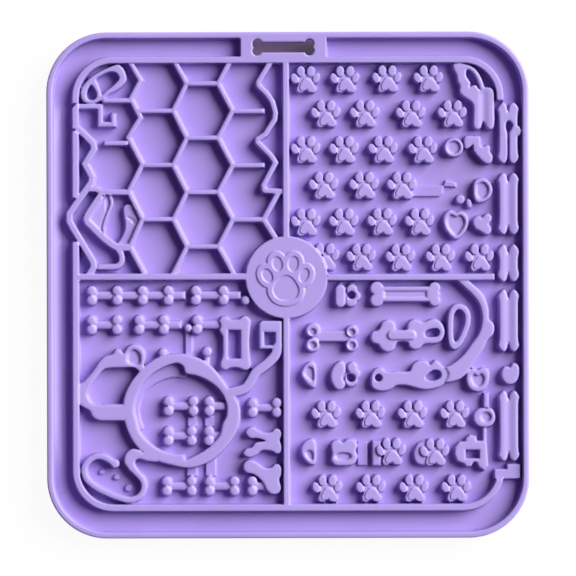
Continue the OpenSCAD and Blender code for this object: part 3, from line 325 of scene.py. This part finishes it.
def fill(p0, p1):
    """The cells inside the closed outlines made of the edges p0 to p1 (even-odd)."""
    q0 = (p0 - LOW) / CELL - 0.5
    q1 = (p1 - LOW) / CELL - 0.5
    swap = q0[:, 1] > q1[:, 1]
    q0[swap], q1[swap] = q1[swap].copy(), q0[swap].copy()
    r0 = np.ceil(q0[:, 1]).astype(int)
    r1 = np.ceil(q1[:, 1]).astype(int)
    n = np.maximum(r1 - r0, 0)
    which = np.repeat(np.arange(len(n)), n)
    row = r0[which] + np.arange(n.sum()) - np.repeat(np.cumsum(n) - n, n)
    t = (row - q0[which, 1]) / (q1[which, 1] - q0[which, 1])
    col = np.ceil(q0[which, 0] + t * (q1[which, 0] - q0[which, 0])).astype(int)
    flips = np.zeros((ROWS, COLS + 1), np.int16)
    np.add.at(flips, (row, col), 1)
    return (np.cumsum(flips, axis=1)[:, :COLS] & 1).astype(bool)


def spread(mask, reach):
    """The cells within reach of the mask."""
    n = int(reach / CELL)
    out = mask.copy()
    for i in range(-n, n + 1):
        for j in range(-n, n + 1):
            if i * i + j * j <= n * n:
                out |= np.roll(mask, (i, j), (0, 1))
    return out


def blur(a, sigma):
    """The map blurred with a Gaussian of sigma in mm."""
    half = int(math.ceil(BLUR_REACH * sigma / CELL))
    w = np.exp(-0.5 * (np.arange(-half, half + 1) * CELL / sigma) ** 2)
    w /= w.sum()
    for axis in (0, 1):
        pad = [(0, 0), (0, 0)]
        pad[axis] = (half, half)
        b = np.pad(a, pad)
        n = a.shape[axis]
        a = sum(w[i] * (b[i:i + n] if axis == 0 else b[:, i:i + n]) for i in range(2 * half + 1))
    return a.astype(np.float32)


def sample(a, p):
    """The map's value at points in mm, between the cell centres."""
    q = (p - LOW) / CELL - 0.5
    i = np.clip(np.floor(q).astype(int), 0, [COLS - 2, ROWS - 2])
    f = np.clip(q - i, 0, 1)
    c, r = i[:, 0], i[:, 1]
    return ((a[r, c] * (1 - f[:, 0]) + a[r, c + 1] * f[:, 0]) * (1 - f[:, 1])
            + (a[r + 1, c] * (1 - f[:, 0]) + a[r + 1, c + 1] * f[:, 0]) * f[:, 1])


def slopes(a):
    """The map's slope along x and along y."""
    return [np.gradient(a, CELL, axis=axis).astype(np.float32) for axis in (1, 0)]


def direction(slope, p):
    """The unit vector at points along which the sloping map rises."""
    d = np.stack([sample(g, p) for g in slope], 1)
    return d / np.maximum(np.linalg.norm(d, axis=1), TINY)[:, None]


# Flat tops of the nodes
def read_tops():
    """The map of top heights, each cell's node, all the outline edges, and the outlines of the paws' pads."""
    raw = np.zeros((ROWS, COLS), np.float32)
    label = np.full((ROWS, COLS), -1, np.int8)
    edges = []
    pads = []
    for index, name in enumerate([SHEET] + NAMES):
        co, tri, z = top_faces(NODES[name])
        for level in np.unique(np.round(z, LEVEL_DECIMALS)):
            part = tri[np.abs(z - level) < SAME_LEVEL]
            e = sides(part)
            e = e[lone(e)]
            p0, p1 = co[e[:, 0], :2], co[e[:, 1], :2]
            inside = fill(p0, p1) & (raw < level)
            raw[inside] = co[part[0, 0], 2]
            if index:
                label[inside] = index - 1
            if name == "border_bones" and level < z.max() - NEXT_LEVEL:
                raw[inside] = z.max()
            edges.append(np.concatenate([p0, p1], axis=1))
            if name.startswith("paw_studs"):
                island = islands(e, len(co))[e[:, 0]]
                loops = [edges[-1][island == one] for one in np.unique(island)]
                pads += [loop for loop in loops if np.ptp(loop[:, 0]) > PAD_WIDTH]
    return raw, label, np.concatenate(edges), pads


raw, label, edges, pads = read_tops()
on_plate = raw > 0
limits = np.array([a + (b - a) * s for a, b, s in zip(LEVELS, LEVELS[1:], LIMIT_SHARES)])
kind = np.searchsorted(limits, raw).astype(np.int8)


# Distances to the jumps of height
def jumps():
    """The straight stretches of outline where the kind changes: both ends, both kinds, and the higher side's
    node."""
    start, end = edges[:, :2], edges[:, 2:]
    length = np.linalg.norm(end - start, axis=1)
    bits = np.maximum(np.ceil(length / SPLIT).astype(int), 1)
    edge = np.repeat(np.arange(len(bits)), bits)
    place = np.arange(bits.sum()) - np.repeat(np.cumsum(bits) - bits, bits)
    along = (end - start)[edge] / bits[edge, None]
    bit0 = start[edge] + along * place[:, None]
    middle = bit0 + along / 2
    aside = np.stack([-along[:, 1], along[:, 0]], 1)
    aside *= (ASIDE / np.maximum(np.linalg.norm(aside, axis=1), TINY))[:, None]
    right, left = cells(middle - aside), cells(middle + aside)
    kinds = np.stack([kind[right], kind[left]], 1).astype(int)
    low_kind, high_kind = kinds.min(axis=1), kinds.max(axis=1)
    owner = np.where(kinds[:, 0] > kinds[:, 1], label[right], label[left]).astype(int)
    # Bits of one edge that say the same are one stretch
    says = np.stack([edge, low_kind, high_kind, owner], 1)
    new_run = np.ones(len(says), bool)
    new_run[1:] = (says[1:] != says[:-1]).any(axis=1)
    first = np.flatnonzero(new_run)
    last = np.append(first[1:], len(says)) - 1
    keep = low_kind[first] != high_kind[first]
    first, last = first[keep], last[keep]
    return bit0[first], bit0[last] + along[last], low_kind[first], high_kind[first], owner[first]


def measure(p0, p1, low_kind, high_kind, owner):
    """Maps of the distance to each pair of kinds' jumps and to any form's, and of the nearest form's node."""
    pairs = sorted(set(zip(low_kind.tolist(), high_kind.tolist())))
    distance = {pair: np.full((ROWS, COLS), REACH, np.float32) for pair in pairs}
    nearest = np.full((ROWS, COLS), REACH, np.float32)
    near_label = np.full((ROWS, COLS), -1, np.int8)
    for s0, s1, lo, hi, own in zip(p0, p1, low_kind, high_kind, owner):
        field = distance[int(lo), int(hi)]
        x0, y0 = np.maximum(((np.minimum(s0, s1) - REACH - LOW) / CELL).astype(int), 0)
        x1, y1 = ((np.maximum(s0, s1) + REACH - LOW) / CELL).astype(int) + 1
        x = LOW[0] + (np.arange(x0, min(x1, COLS), dtype=np.float32) + 0.5) * CELL - s0[0]
        y = (LOW[1] + (np.arange(y0, min(y1, ROWS), dtype=np.float32) + 0.5) * CELL - s0[1])[:, None]
        d = s1 - s0
        t = np.clip((x * d[0] + y * d[1]) / max(d @ d, TINY ** 2), 0, 1)
        gap = np.sqrt((x - t * d[0]) ** 2 + (y - t * d[1]) ** 2)
        here = (slice(y0, y0 + gap.shape[0]), slice(x0, x0 + gap.shape[1]))
        np.minimum(field[here], gap, out=field[here])
        if lo >= ON_SHEET:
            closer = gap < nearest[here]
            nearest[here][closer] = gap[closer]
            near_label[here][closer] = own
    return distance, nearest, near_label


distance, nearest, near_label = measure(*jumps())


def gap_to(test):
    """The distance to the nearest jump whose pair of kinds passes the test."""
    found = [f for pair, f in distance.items() if test(*pair)]
    return np.minimum.reduce(found) if found else np.full((ROWS, COLS), REACH, np.float32)


def signed(test, k):
    """The same distance, below zero where the kind is lower than k."""
    gap = gap_to(test)
    return np.where(kind >= k, gap, -gap)


# The height map
def rounded_tops():
    """Each form with a rounded top, and a little wider than its flat CAD top, so that half the side's height
    is on the outline."""
    radius = np.full((ROWS, COLS), CROWN_OTHER[0], np.float32)
    fall = np.full((ROWS, COLS), CROWN_OTHER[1], np.float32)
    for index, name in enumerate(NAMES):
        here = (label == index) | ((kind == ON_SHEET) & (near_label == index))
        radius[here], fall[here] = CROWN.get(name, CROWN_OTHER)
    height = np.where(on_plate, np.float32(FLOOR), 0).astype(np.float32)
    plate_gap = gap_to(lambda lo, hi: lo == OUTSIDE)
    for k in range(STEP, BAND + 1):
        gap = gap_to(lambda lo, hi: OUTSIDE < lo < k <= hi)
        depth = np.minimum(np.where(kind >= k, gap, -gap) + GROW, plate_gap)
        inside = on_plate & (depth > 0)
        level = np.where(kind == k, raw, np.float32(LEVELS[k]))
        crown = np.full_like(radius, CROWN_STEP[0]) if k == STEP else radius
        rise = 1 - np.clip(depth / crown, 0, 1)
        drop = (CROWN_STEP[1] if k == STEP else fall) * crown * (1 - np.sqrt(1 - rise ** 2))
        height = np.where(inside, np.maximum(height, level - drop), height)
    return height


def pad_areas():
    """The lips of the paws' pads, the pads' left halves, and the spaces between pads and toes."""
    left_half = np.zeros((ROWS, COLS), bool)
    web_place = np.zeros((ROWS, COLS), bool)
    half_x, half_y = WEB_HALF
    for loop in pads:
        (x0, y0), (x1, y1) = loop[:, :2].min(axis=0), loop[:, :2].max(axis=0)
        middle = (x0 + x1) / 2
        if x1 - x0 > WHOLE_PAD:
            left_half[window((x0, y0), (middle + LIP_PAST_MIDDLE, y1))] = True
        y = y1 - WEB_BELOW
        here = window((middle - half_x, y - half_y), (middle + half_x, y + half_y))
        web_place[here] |= np.hypot((CELL_X[here[1]] - middle) / half_x, (CELL_Y[here[0]] - y) / half_y) < 1
    outline = np.concatenate(pads)
    shifted = outline + np.tile(LIP_SHIFT, 2)
    lip = fill(outline[:, :2], outline[:, 2:]) & ~fill(shifted[:, :2], shifted[:, 2:]) & left_half
    return lip, left_half, web_place


def add_webs(height, web_place):
    """Fills the narrow gaps of some nodes part of the way up."""
    solid = kind >= BAR
    for name, (reach, below) in WEB.items():
        narrow = ~spread(~spread(solid, reach), reach) & ~solid & (near_label == NAMES.index(name))
        if name.startswith("paw_studs"):
            narrow &= web_place
        elif name == "pentagon_loop":
            narrow &= CELL_Y > PENTAGON_WEB_Y
        height[narrow] = np.maximum(height[narrow], top(name) - below)


def lower_lips(height, lip, left_half):
    """Lowers the pads' lips, with a groove between each lip and its pad."""
    height[spread(lip, LIP_SPREAD) & (kind < RIB)] -= LIP_DROP
    beside = spread(~lip & (kind == STUD), GROOVE_SPREAD)
    groove = spread(lip, GROOVE_SPREAD) & beside & left_half & (kind == STUD)
    height[groove] -= LIP_DROP * GROOVE_SHARE


def press_valleys(height):
    """The map with the upright bones' valleys, and the distance to the valleys' middles."""
    off_middle = np.full((ROWS, COLS), REACH, np.float32)
    for name, middle, width, depth, (y0, y1) in VALLEYS:
        off = CELL_X - middle
        own = NAMES.index(name)
        ends = np.clip(np.minimum(CELL_Y - y0, y1 - CELL_Y) / VALLEY_END, 0, 1)
        shape = depth * ends * (1 + np.cos(math.pi * np.clip(off / width, -1, 1))) / 2
        here = ((label == own) | (near_label == own)) & (height > FLOOR + VALLEY_ABOVE)
        height = np.where(here, height - shape, height).astype(np.float32)
        here = (ends > 0) & (np.abs(off) < REACH)
        off_middle[here] = np.broadcast_to(off, off_middle.shape)[here]
    return height, off_middle


def draft():
    """The sloping inner side of the rim along the left gutter, and 0 elsewhere."""
    run, rise, half = DRAFT
    foot = CELL_X[(label[ROWS // 2] == NAMES.index(RIM)) & (CELL_X < 0)].max() + run
    ends = (1 - np.cos(math.pi * np.clip((half - np.abs(CELL_Y)) / DRAFT_END, 0, 1))) / 2
    drafted = (FLOOR + rise * np.clip((foot - CELL_X) / run, 0, 1) * ends).astype(np.float32)
    drafted[(kind != ON_SHEET) | (CELL_X > foot)] = 0
    return drafted


height = rounded_tops()
lip, left_half, web_place = pad_areas()
add_webs(height, web_place)
lower_lips(height, lip, left_half)
height, valley = press_valleys(height)
ridge = window(*LOW_RIDGE[:2])
height[ridge] = np.minimum(height[ridge], LOW_RIDGE[2])
drafted = draft()
height = np.maximum(height, drafted)
near_label[(near_label < 0) & (drafted > FLOOR)] = NAMES.index(RIM)
cover = blur(on_plate.astype(np.float32), SOFT)
height = blur(height, SOFT) / np.maximum(cover, COVERED)
height[cover < COVERED] = FLOOR


# Rows of points along the outlines
def split(points, tri, keys, ids, n):
    """Splits triangles at the points ids on their edges. A key is an edge's lower point times n plus its
    higher point."""
    mid = []
    for a, b in ((0, 1), (1, 2), (2, 0)):
        lo, hi = np.minimum(tri[:, a], tri[:, b]), np.maximum(tri[:, a], tri[:, b])
        key = lo.astype(np.int64) * n + hi
        at = np.clip(np.searchsorted(keys, key), 0, len(keys) - 1)
        mid.append(np.where(keys[at] == key, ids[at], -1))
    mid = np.stack(mid, 1)
    count = (mid >= 0).sum(axis=1)
    out = [tri[count == 0]]
    for one in range(3):
        pick = (count == 1) & (mid[:, one] >= 0)
        a, b, c = (tri[pick, (one + i) % 3] for i in range(3))
        m = mid[pick, one]
        out += [np.stack([a, m, c], 1), np.stack([m, b, c], 1)]
    for tip in range(3):
        pick = (count == 2) & (mid[:, tip] >= 0) & (mid[:, (tip + 2) % 3] >= 0)
        a, b, c = (tri[pick, (tip + i) % 3] for i in range(3))
        ab, ca = mid[pick, tip], mid[pick, (tip + 2) % 3]
        out.append(np.stack([a, ab, ca], 1))
        short = (np.linalg.norm(points[ab] - points[c], axis=1)
                 < np.linalg.norm(points[b] - points[ca], axis=1))[:, None]
        out.append(np.where(short, np.stack([ab, b, c], 1), np.stack([ab, b, ca], 1)))
        out.append(np.where(short, np.stack([ab, c, ca], 1), np.stack([b, c, ca], 1)))
    pick = count == 3
    a, b, c = tri[pick].T
    ab, bc, ca = mid[pick].T
    out += [np.stack(t, 1) for t in ((a, ab, ca), (ab, b, bc), (ca, bc, c), (ab, bc, ca))]
    return np.concatenate(out)


def crossings(points, tri, s, field, knot):
    """The edges along which the field passes the knot, where each does, whether that is in its first half,
    and whether it is close to an end."""
    t = s[tri]
    e = undirected(tri[(t.min(axis=1) < 0) & (t.max(axis=1) > 0)])
    e = e[(s[e[:, 0]] * s[e[:, 1]] < 0) & (np.abs(s[e] + knot).max(axis=1) < ROW_REACH)]
    a, b = points[e[:, 0]], points[e[:, 1]]
    ta, tb = np.zeros(len(e)), np.ones(len(e))
    sa, sb = s[e[:, 0]].copy(), s[e[:, 1]].copy()
    for _ in range(ROUNDS):
        margin = KEEP_OFF * (tb - ta)
        tm = np.clip(ta + (tb - ta) * sa / (sa - sb), ta + margin, tb - margin)
        sm = sample(field, a + (b - a) * tm[:, None]) - knot
        same = sm * sa > 0
        ta, sa = np.where(same, tm, ta), np.where(same, sm, sa)
        tb, sb = np.where(same, tb, tm), np.where(same, sb, sm)
    found = np.abs(sm) < ON_ROW
    close = np.minimum(tm, 1 - tm) * np.linalg.norm(b - a, axis=1) <= END_MOVES
    return e[found], (a + (b - a) * tm[:, None])[found], (tm < 0.5)[found], close[found]


def move_ends(points, tri, end, place):
    """Moves points to places, unless that would turn a triangle over, and says which points moved."""
    moved = points.copy()
    moved[end] = place
    shifted = np.zeros(len(points), bool)
    shifted[end] = True
    around = tri[shifted[tri].any(axis=1)]
    for _ in range(ROUNDS):
        p = moved[around]
        u, v = p[:, 1] - p[:, 0], p[:, 2] - p[:, 0]
        over = around[u[:, 0] * v[:, 1] - u[:, 1] * v[:, 0] < LEAST_AREA].ravel()
        moved[over] = points[over]
        shifted[over] = False
    return moved, shifted


def cut(points, tri, field, knot):
    """Puts a row of points where the field passes the knot."""
    s = sample(field, points) - knot
    e, place, first, close = crossings(points, tri, s, field, knot)
    if not len(e):
        return points, tri
    points, shifted = move_ends(points, tri, np.where(first, e[:, 0], e[:, 1])[close], place[close])
    s = sample(field, points) - knot
    s[shifted] = 0
    e, place, _, close = crossings(points, tri, s, field, knot)
    e, place = e[~close], place[~close]
    if not len(e):
        return points, tri
    n = len(points)
    keys = e[:, 0].astype(np.int64) * n + e[:, 1]
    order = np.argsort(keys)
    ids = n + np.arange(len(e))
    grown = np.concatenate([points, place])
    return grown, split(grown, tri, keys[order], ids[order], n)


# The surface
def grid():
    """Points and triangles all over the map."""
    nx, ny = (int(math.ceil((HIGH[i] - LOW[i]) / GRID)) for i in (0, 1))
    x = LOW[0] + np.arange(nx + 1) * (HIGH[0] - LOW[0]) / nx
    y = LOW[1] + np.arange(ny + 1) * (HIGH[1] - LOW[1]) / ny
    points = np.stack(np.meshgrid(x, y), -1).reshape(-1, 2)
    i, j = (g.ravel() for g in np.meshgrid(np.arange(nx), np.arange(ny)))
    a = j * (nx + 1) + i
    b, c, d = a + 1, a + nx + 2, a + nx + 1
    flip = ((i + j) % 2 == 0)[:, None]
    first = np.where(flip, np.stack([a, b, c], 1), np.stack([a, b, d], 1))
    second = np.where(flip, np.stack([a, c, d], 1), np.stack([b, c, d], 1))
    return points, np.concatenate([first, second])


def refine(points, tri, where):
    """Halves the edges of the triangles whose middle is in the mask."""
    e = undirected(tri[where[cells(points[tri].mean(axis=1))]])
    n = len(points)
    ids = n + np.arange(len(e))
    grown = np.concatenate([points, points[e].mean(axis=1)])
    return grown, split(grown, tri, e[:, 0].astype(np.int64) * n + e[:, 1], ids, n)


def surface(plate):
    """Points and triangles round the forms, with rows of points along all the outlines."""
    points, tri = grid()
    from_form = np.where((kind >= STEP) | (drafted > FLOOR), 0, gap_to(lambda lo, hi: True))
    tri = tri[sample(from_form.astype(np.float32), points)[tri].min(axis=1) < ROUND_FORM]
    small = [i for i, n in enumerate(NAMES) if n.startswith(STUDS)]
    fine = np.isin(label, small) | (np.isin(near_label, small) & (nearest < ROUND_STUD))
    points, tri = refine(points, tri, fine)
    fields = {
        "plate": plate,
        "tall": signed(lambda lo, hi: lo in (ON_SHEET, STEP) and hi >= BAR, BAR),
        "low": signed(lambda lo, hi: lo == ON_SHEET and hi == STEP, STEP),
        "knob": signed(lambda lo, hi: lo == BAR, STUD),
        "rib": signed(lambda lo, hi: lo == STUD and hi == RIB, RIB),
        "wall": signed(lambda lo, hi: lo in (STUD, RIB) and hi == WALL, WALL),
        "band": signed(lambda lo, hi: hi == BAND, BAND),
        "valley": valley,
    }
    for outline, knots in KNOTS.items():
        for knot in knots:
            points, tri = cut(points, tri, fields[outline], knot)
    return points, tri[sample(plate, points[tri].mean(axis=1)) > 0]


def settle(points, tri, plate, inward):
    """Moves the surface's edge points onto the sheet's outline, and says which they are."""
    e = sides(tri)
    e = e[lone(e)]
    e = e[(np.abs(sample(plate, points))[e] < NEAR_OUTLINE).all(axis=1)]
    on_edge = np.zeros(len(points), bool)
    on_edge[e] = True
    for _ in range(2):
        away = np.clip(sample(plate, points[on_edge]), -OUTLINE_MOVE, OUTLINE_MOVE)
        points[on_edge] -= direction(inward, points[on_edge]) * away[:, None]
    return on_edge


def surface_normals(points, sunk, on_edge, outward):
    """The map's normal at each point, half turned outward along the sheet's outline."""
    nx, ny = (-sample(slope, points) for slope in slopes(height))
    normal = np.stack([nx, ny, np.ones(len(points))], 1)
    normal[sunk] = (0, 0, 1)
    normal /= np.linalg.norm(normal, axis=1)[:, None]
    normal[on_edge] = normal[on_edge] * UP_SHARE + outward[on_edge]
    return normal / np.linalg.norm(normal, axis=1)[:, None]


def node_of(points, tri, plate, inward):
    """The index of each triangle's node, read at its middle, a little in from the sheet's outline."""
    middle = points[tri].mean(axis=1)
    in_by = np.clip(READ_INSIDE - sample(plate, middle), 0, READ_INSIDE)
    r, c = cells(middle + direction(inward, middle) * in_by[:, None])
    return np.where(kind[r, c] >= STEP, label[r, c], near_label[r, c])


plate = signed(lambda lo, hi: lo == OUTSIDE, ON_SHEET)
inward = slopes(plate)
points, tri = surface(plate)
on_edge = settle(points, tri, plate, inward)
z = sample(height, points)
sunk = z < FLOOR + ENDS_AT
tri = tri[~sunk[tri].all(axis=1)]
z[sunk] = FLOOR - SUNK
outward = np.column_stack([-direction(inward, points), np.zeros(len(points))])
normal = surface_normals(points, sunk, on_edge, outward)
points = np.clip(points, np.array(CAD_BOX[0][:2]) * MM, np.array(CAD_BOX[1][:2]) * MM)
tri_node = node_of(points, tri, plate, inward)
brink = sides(tri)
once = lone(brink)
once = once[on_edge[brink[once]].all(axis=1)]
brink, brink_node = brink[once], tri_node[once % len(tri)]


# Shaders
def add_node(tree, kind_of_node, values=None, **settings):
    """A shader node with its settings and its input values."""
    new = tree.nodes.new("ShaderNode" + kind_of_node)
    for key, value in settings.items():
        setattr(new, key, value)
    for key, value in (values or {}).items():
        new.inputs[key].default_value = value
    return new


def cloud_and_grain(tree, place):
    """The wide noise and the fine one."""
    cloud, grain = add_node(tree, "TexNoise", CLOUD), add_node(tree, "TexNoise", GRAIN)
    for noise in (cloud, grain):
        tree.links.new(place, noise.inputs["Vector"])
    return cloud.outputs["Fac"], grain.outputs["Fac"]


def silicone_tone_and_painted_light(tree, place, cloud):
    """The silicone's tone, painted darker on the sheet as painted shade and paler on raised parts as painted
    light, under a soft cloud.
    """
    apart = add_node(tree, "SeparateXYZ")
    tree.links.new(place, apart.inputs["Vector"])
    raised = add_node(tree, "MapRange", {"From Min": FLOOR / MM, "From Max": LEVELS[STUD] / MM})
    tree.links.new(apart.outputs["Z"], raised.inputs["Value"])
    # Painted light and shade: the tone goes from darker on the sheet to paler on raised parts
    tone = add_node(tree, "Mix", {"A": TONE_LOW_WITH_PAINTED_SHADE, "B": TONE_RAISED_WITH_PAINTED_LIGHT}, data_type="RGBA")
    tree.links.new(raised.outputs["Result"], tone.inputs["Factor"])
    ramp = add_node(tree, "ValToRGB")
    for element, position, colour in zip(ramp.color_ramp.elements, NOISE_SPAN, (CLOUD_DARK, CLOUD_PALE)):
        element.position = position
        element.color = colour
    tree.links.new(cloud, ramp.inputs["Fac"])
    varied = add_node(tree, "Mix", {"Factor": 1.0}, data_type="RGBA", blend_type="MULTIPLY")
    tree.links.new(tone.outputs["Result"], varied.inputs["A"])
    tree.links.new(ramp.outputs["Color"], varied.inputs["B"])
    return varied.outputs["Result"]


def silicone_material():
    """Lilac silicone with a soft cloud of tone and a fine grain in its gloss and bump."""
    material = bpy.data.materials.new("lilac_silicone")
    material.use_nodes = True
    tree = material.node_tree
    shader = tree.nodes["Principled BSDF"]
    place = add_node(tree, "TexCoord").outputs["Object"]
    cloud, grain = cloud_and_grain(tree, place)
    gloss = add_node(tree, "MapRange", {"From Min": NOISE_SPAN[0], "From Max": NOISE_SPAN[1],
                                        "To Min": ROUGHNESS[0], "To Max": ROUGHNESS[1]})
    tree.links.new(grain, gloss.inputs["Value"])
    bump = add_node(tree, "Bump", GRAIN_BUMP)
    tree.links.new(grain, bump.inputs["Height"])
    tree.links.new(silicone_tone_and_painted_light(tree, place, cloud), shader.inputs["Base Color"])
    tree.links.new(gloss.outputs["Result"], shader.inputs["Roughness"])
    tree.links.new(bump.outputs["Normal"], shader.inputs["Normal"])
    shader.inputs["Specular IOR Level"].default_value = SPECULAR
    shader.inputs["IOR"].default_value = IOR
    return material


def under_mat(tree):
    """1 where shade is painted under the mat, in a rounded rectangle a little smaller than it, and 0
    elsewhere.
    """
    half = [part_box(SHEET)[1][i] - SHADE_INSET - SHADE_CORNER for i in (0, 1)]
    step = add_node(tree, "TexCoord").outputs["Object"]
    for operation, value in (("ABSOLUTE", None), ("SUBTRACT", (*half, 0)), ("MAXIMUM", (0, 0, 0))):
        part = add_node(tree, "VectorMath", operation=operation)
        tree.links.new(step, part.inputs[0])
        if value is not None:
            part.inputs[1].default_value = value
        step = part.outputs["Vector"]
    length = add_node(tree, "VectorMath", operation="LENGTH")
    tree.links.new(step, length.inputs[0])
    inside = add_node(tree, "Math", {1: SHADE_CORNER}, operation="LESS_THAN")
    tree.links.new(length.outputs["Value"], inside.inputs[0])
    return inside.outputs[0]


def floor_material():
    """Plain white to the camera but for the object's shadow, with painted shade under the mat."""
    material = bpy.data.materials.new("pale_floor")
    material.use_nodes = True
    tree = material.node_tree
    shader = tree.nodes["Principled BSDF"]
    shader.inputs["Roughness"].default_value = FLOOR_ROUGHNESS
    shader.inputs["Specular IOR Level"].default_value = FLOOR_SPECULAR
    inside = under_mat(tree)
    # Painted shade: a dark tone on the floor under the mat
    tone = add_node(tree, "Mix", {"A": FLOOR_TONE, "B": SHADE_TONE}, data_type="RGBA")
    tree.links.new(inside, tone.inputs["Factor"])
    tree.links.new(tone.outputs["Result"], shader.inputs["Base Color"])
    white = add_node(tree, "Math", {1: SHADE_WHITE - FLOOR_WHITE, 2: FLOOR_WHITE}, operation="MULTIPLY_ADD")
    tree.links.new(inside, white.inputs[0])
    share = add_node(tree, "Math", operation="MULTIPLY")
    tree.links.new(add_node(tree, "LightPath").outputs["Is Camera Ray"], share.inputs[0])
    tree.links.new(white.outputs[0], share.inputs[1])
    glow = add_node(tree, "Emission", {"Strength": 1.0})
    mix = add_node(tree, "MixShader")
    tree.links.new(share.outputs[0], mix.inputs["Fac"])
    tree.links.new(shader.outputs[0], mix.inputs[1])
    tree.links.new(glow.outputs[0], mix.inputs[2])
    tree.links.new(mix.outputs[0], tree.nodes["Material Output"].inputs["Surface"])
    return material


# Objects
def link_object(name, data):
    """A new object in the scene."""
    obj = bpy.data.objects.new(name, data)
    bpy.context.scene.collection.objects.link(obj)
    return obj


def smooth_mesh(name, co, faces):
    """A smooth mesh from points in mm."""
    mesh = bpy.data.meshes.new(name)
    mesh.from_pydata((co / MM).tolist(), [], faces)
    mesh.polygons.foreach_set("use_smooth", np.ones(len(mesh.polygons), bool))
    mesh.update()
    return mesh


def wear(obj, node, material):
    """Puts a finished piece over its CAD node."""
    obj.data.materials.clear()
    obj.data.materials.append(material)
    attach(obj, "root")
    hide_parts(node)


def moulded_feature(index, name):
    """A node's part of the surface, with an upright side down to the sheet along the sheet's outline."""
    used, local = np.unique(tri[tri_node == index], return_inverse=True)
    faces = local.reshape(-1, 3)
    co = np.column_stack([points[used], z[used]])
    normals = normal[used]
    edge = np.searchsorted(used, brink[brink_node == index])
    if len(edge):
        upper = np.unique(edge)
        below = np.full(len(co), -1)
        below[upper] = len(co) + np.arange(len(upper))
        foot = co[upper].copy()
        foot[:, 2] = FLOOR
        co = np.concatenate([co, foot])
        normals = np.concatenate([normals, outward[used][upper]])
        a, b = edge.T
        side = [np.stack([b, a, below[a]], 1), np.stack([b, below[a], below[b]], 1)]
        faces = np.concatenate([faces, *side])
    mesh = smooth_mesh("visual_" + name, co, faces.tolist())
    mesh.normals_split_custom_set_from_vertices(normals.tolist())
    return link_object("visual_" + name, mesh)


def rounded_sheet():
    """The CAD sheet with a rounded lower edge."""
    mesh = NODES[SHEET].data.copy()
    mesh.name = "visual_" + SHEET
    bm = bmesh.new()
    bm.from_mesh(mesh)
    bmesh.ops.remove_doubles(bm, verts=bm.verts, dist=WELD)
    bmesh.ops.dissolve_limit(bm, angle_limit=0.01, verts=bm.verts, edges=bm.edges)
    bottom = min(v.co.z for v in bm.verts)
    lower = [e for e in bm.edges if all(abs(v.co.z - bottom) < WELD for v in e.verts)]
    bmesh.ops.bevel(bm, geom=lower, offset=ROUND_EDGE, segments=3, profile=0.5, affect="EDGES")
    bmesh.ops.triangulate(bm, faces=bm.faces)
    bm.to_mesh(mesh)
    bm.free()
    if "custom_normal" in mesh.attributes:
        mesh.attributes.remove(mesh.attributes["custom_normal"])
    mesh.polygons.foreach_set("use_smooth", np.ones(len(mesh.polygons), bool))
    mesh.set_sharp_from_angle(angle=math.radians(SMOOTH_UNDER))
    return link_object("visual_" + SHEET, mesh)


def cup_places():
    """Each cup's middle and its lip's radius, from the lowest points of the CAD cups."""
    co = np.array([v.co for v in NODES[CUPS].data.vertices]) * MM
    left = co[co[:, 2] < co[:, 2].min() + LIP_DEPTH, :2]
    places = []
    while len(left):
        group = left[np.linalg.norm(left - left[0], axis=1) < CUP_WIDTH]
        centre = (group.min(axis=0) + group.max(axis=0)) / 2
        group = left[np.linalg.norm(left - centre, axis=1) < CUP_HALF]
        centre = (group.min(axis=0) + group.max(axis=0)) / 2
        places.append((centre, (group[:, 0].max() - group[:, 0].min()) / 2))
        left = left[np.linalg.norm(left - centre, axis=1) > CUP_HALF]
    return places


def cup_profile(lip, h):
    """Radius and height along a cup of height h."""
    start = {"middle": 0, "neck": lip * NECK_SHARE, "lip": lip}
    return [(start[place] + more, h * share + up) for place, more, share, up in CUP_PROFILE]


def cups():
    """All the cups, each a turned profile."""
    turn = np.arange(CUP_SIDES) * 2 * math.pi / CUP_SIDES
    co, faces = [], []
    for (x, y), lip in cup_places():
        profile = cup_profile(lip, top(CUPS))
        base = len(co)
        co += [(r * math.cos(a) + x, r * math.sin(a) + y, h) for r, h in profile for a in turn]
        for ring in range(base, base + (len(profile) - 1) * CUP_SIDES, CUP_SIDES):
            for j in range(CUP_SIDES):
                k = (j + 1) % CUP_SIDES
                faces.append((ring + j, ring + CUP_SIDES + j, ring + CUP_SIDES + k, ring + k))
        faces.append(tuple(range(len(co) - CUP_SIDES, len(co))))
    return link_object("visual_" + CUPS, smooth_mesh("visual_" + CUPS, np.array(co), faces))


def floor():
    """The pale floor that the object stands on."""
    bm = bmesh.new()
    bmesh.ops.create_grid(bm, x_segments=FLOOR_CELLS, y_segments=FLOOR_CELLS, size=FLOOR_HALF)
    mesh = bpy.data.meshes.new("floor")
    bm.to_mesh(mesh)
    bm.free()
    mesh.materials.append(floor_material())
    obj = link_object("floor", mesh)


def light_and_camera():
    """A soft sun, a weak fill, and the camera."""
    scene = bpy.context.scene
    world = bpy.data.worlds.new("studio")
    scene.world = world
    world.use_nodes = True
    fill_light = world.node_tree.nodes["Background"]
    fill_light.inputs["Color"].default_value = FILL_COLOUR
    fill_light.inputs["Strength"].default_value = FILL_STRENGTH
    key = bpy.data.lights.new("key", "SUN")
    key.energy = SUN_ENERGY
    key.angle = math.radians(SUN_ANGLE)
    lamp = link_object("key", key)
    lamp.rotation_euler = (0, math.pi / 2 - math.radians(SUN_ELEVATION), math.radians(SUN_BEARING))
    camera = bpy.data.cameras.new("camera")
    camera.lens = LENS
    camera.sensor_width = SENSOR
    eye = link_object("camera", camera)
    eye.location = EYE_PLACE
    eye.rotation_euler = (0, 0, math.radians(EYE_TURN))
    scene.camera = eye
    scene.view_settings.view_transform = "Standard"


silicone = silicone_material()
for index, name in enumerate(NAMES):
    wear(moulded_feature(index, name), name, silicone)
wear(rounded_sheet(), SHEET, silicone)
wear(cups(), CUPS, silicone)
floor()
light_and_camera()
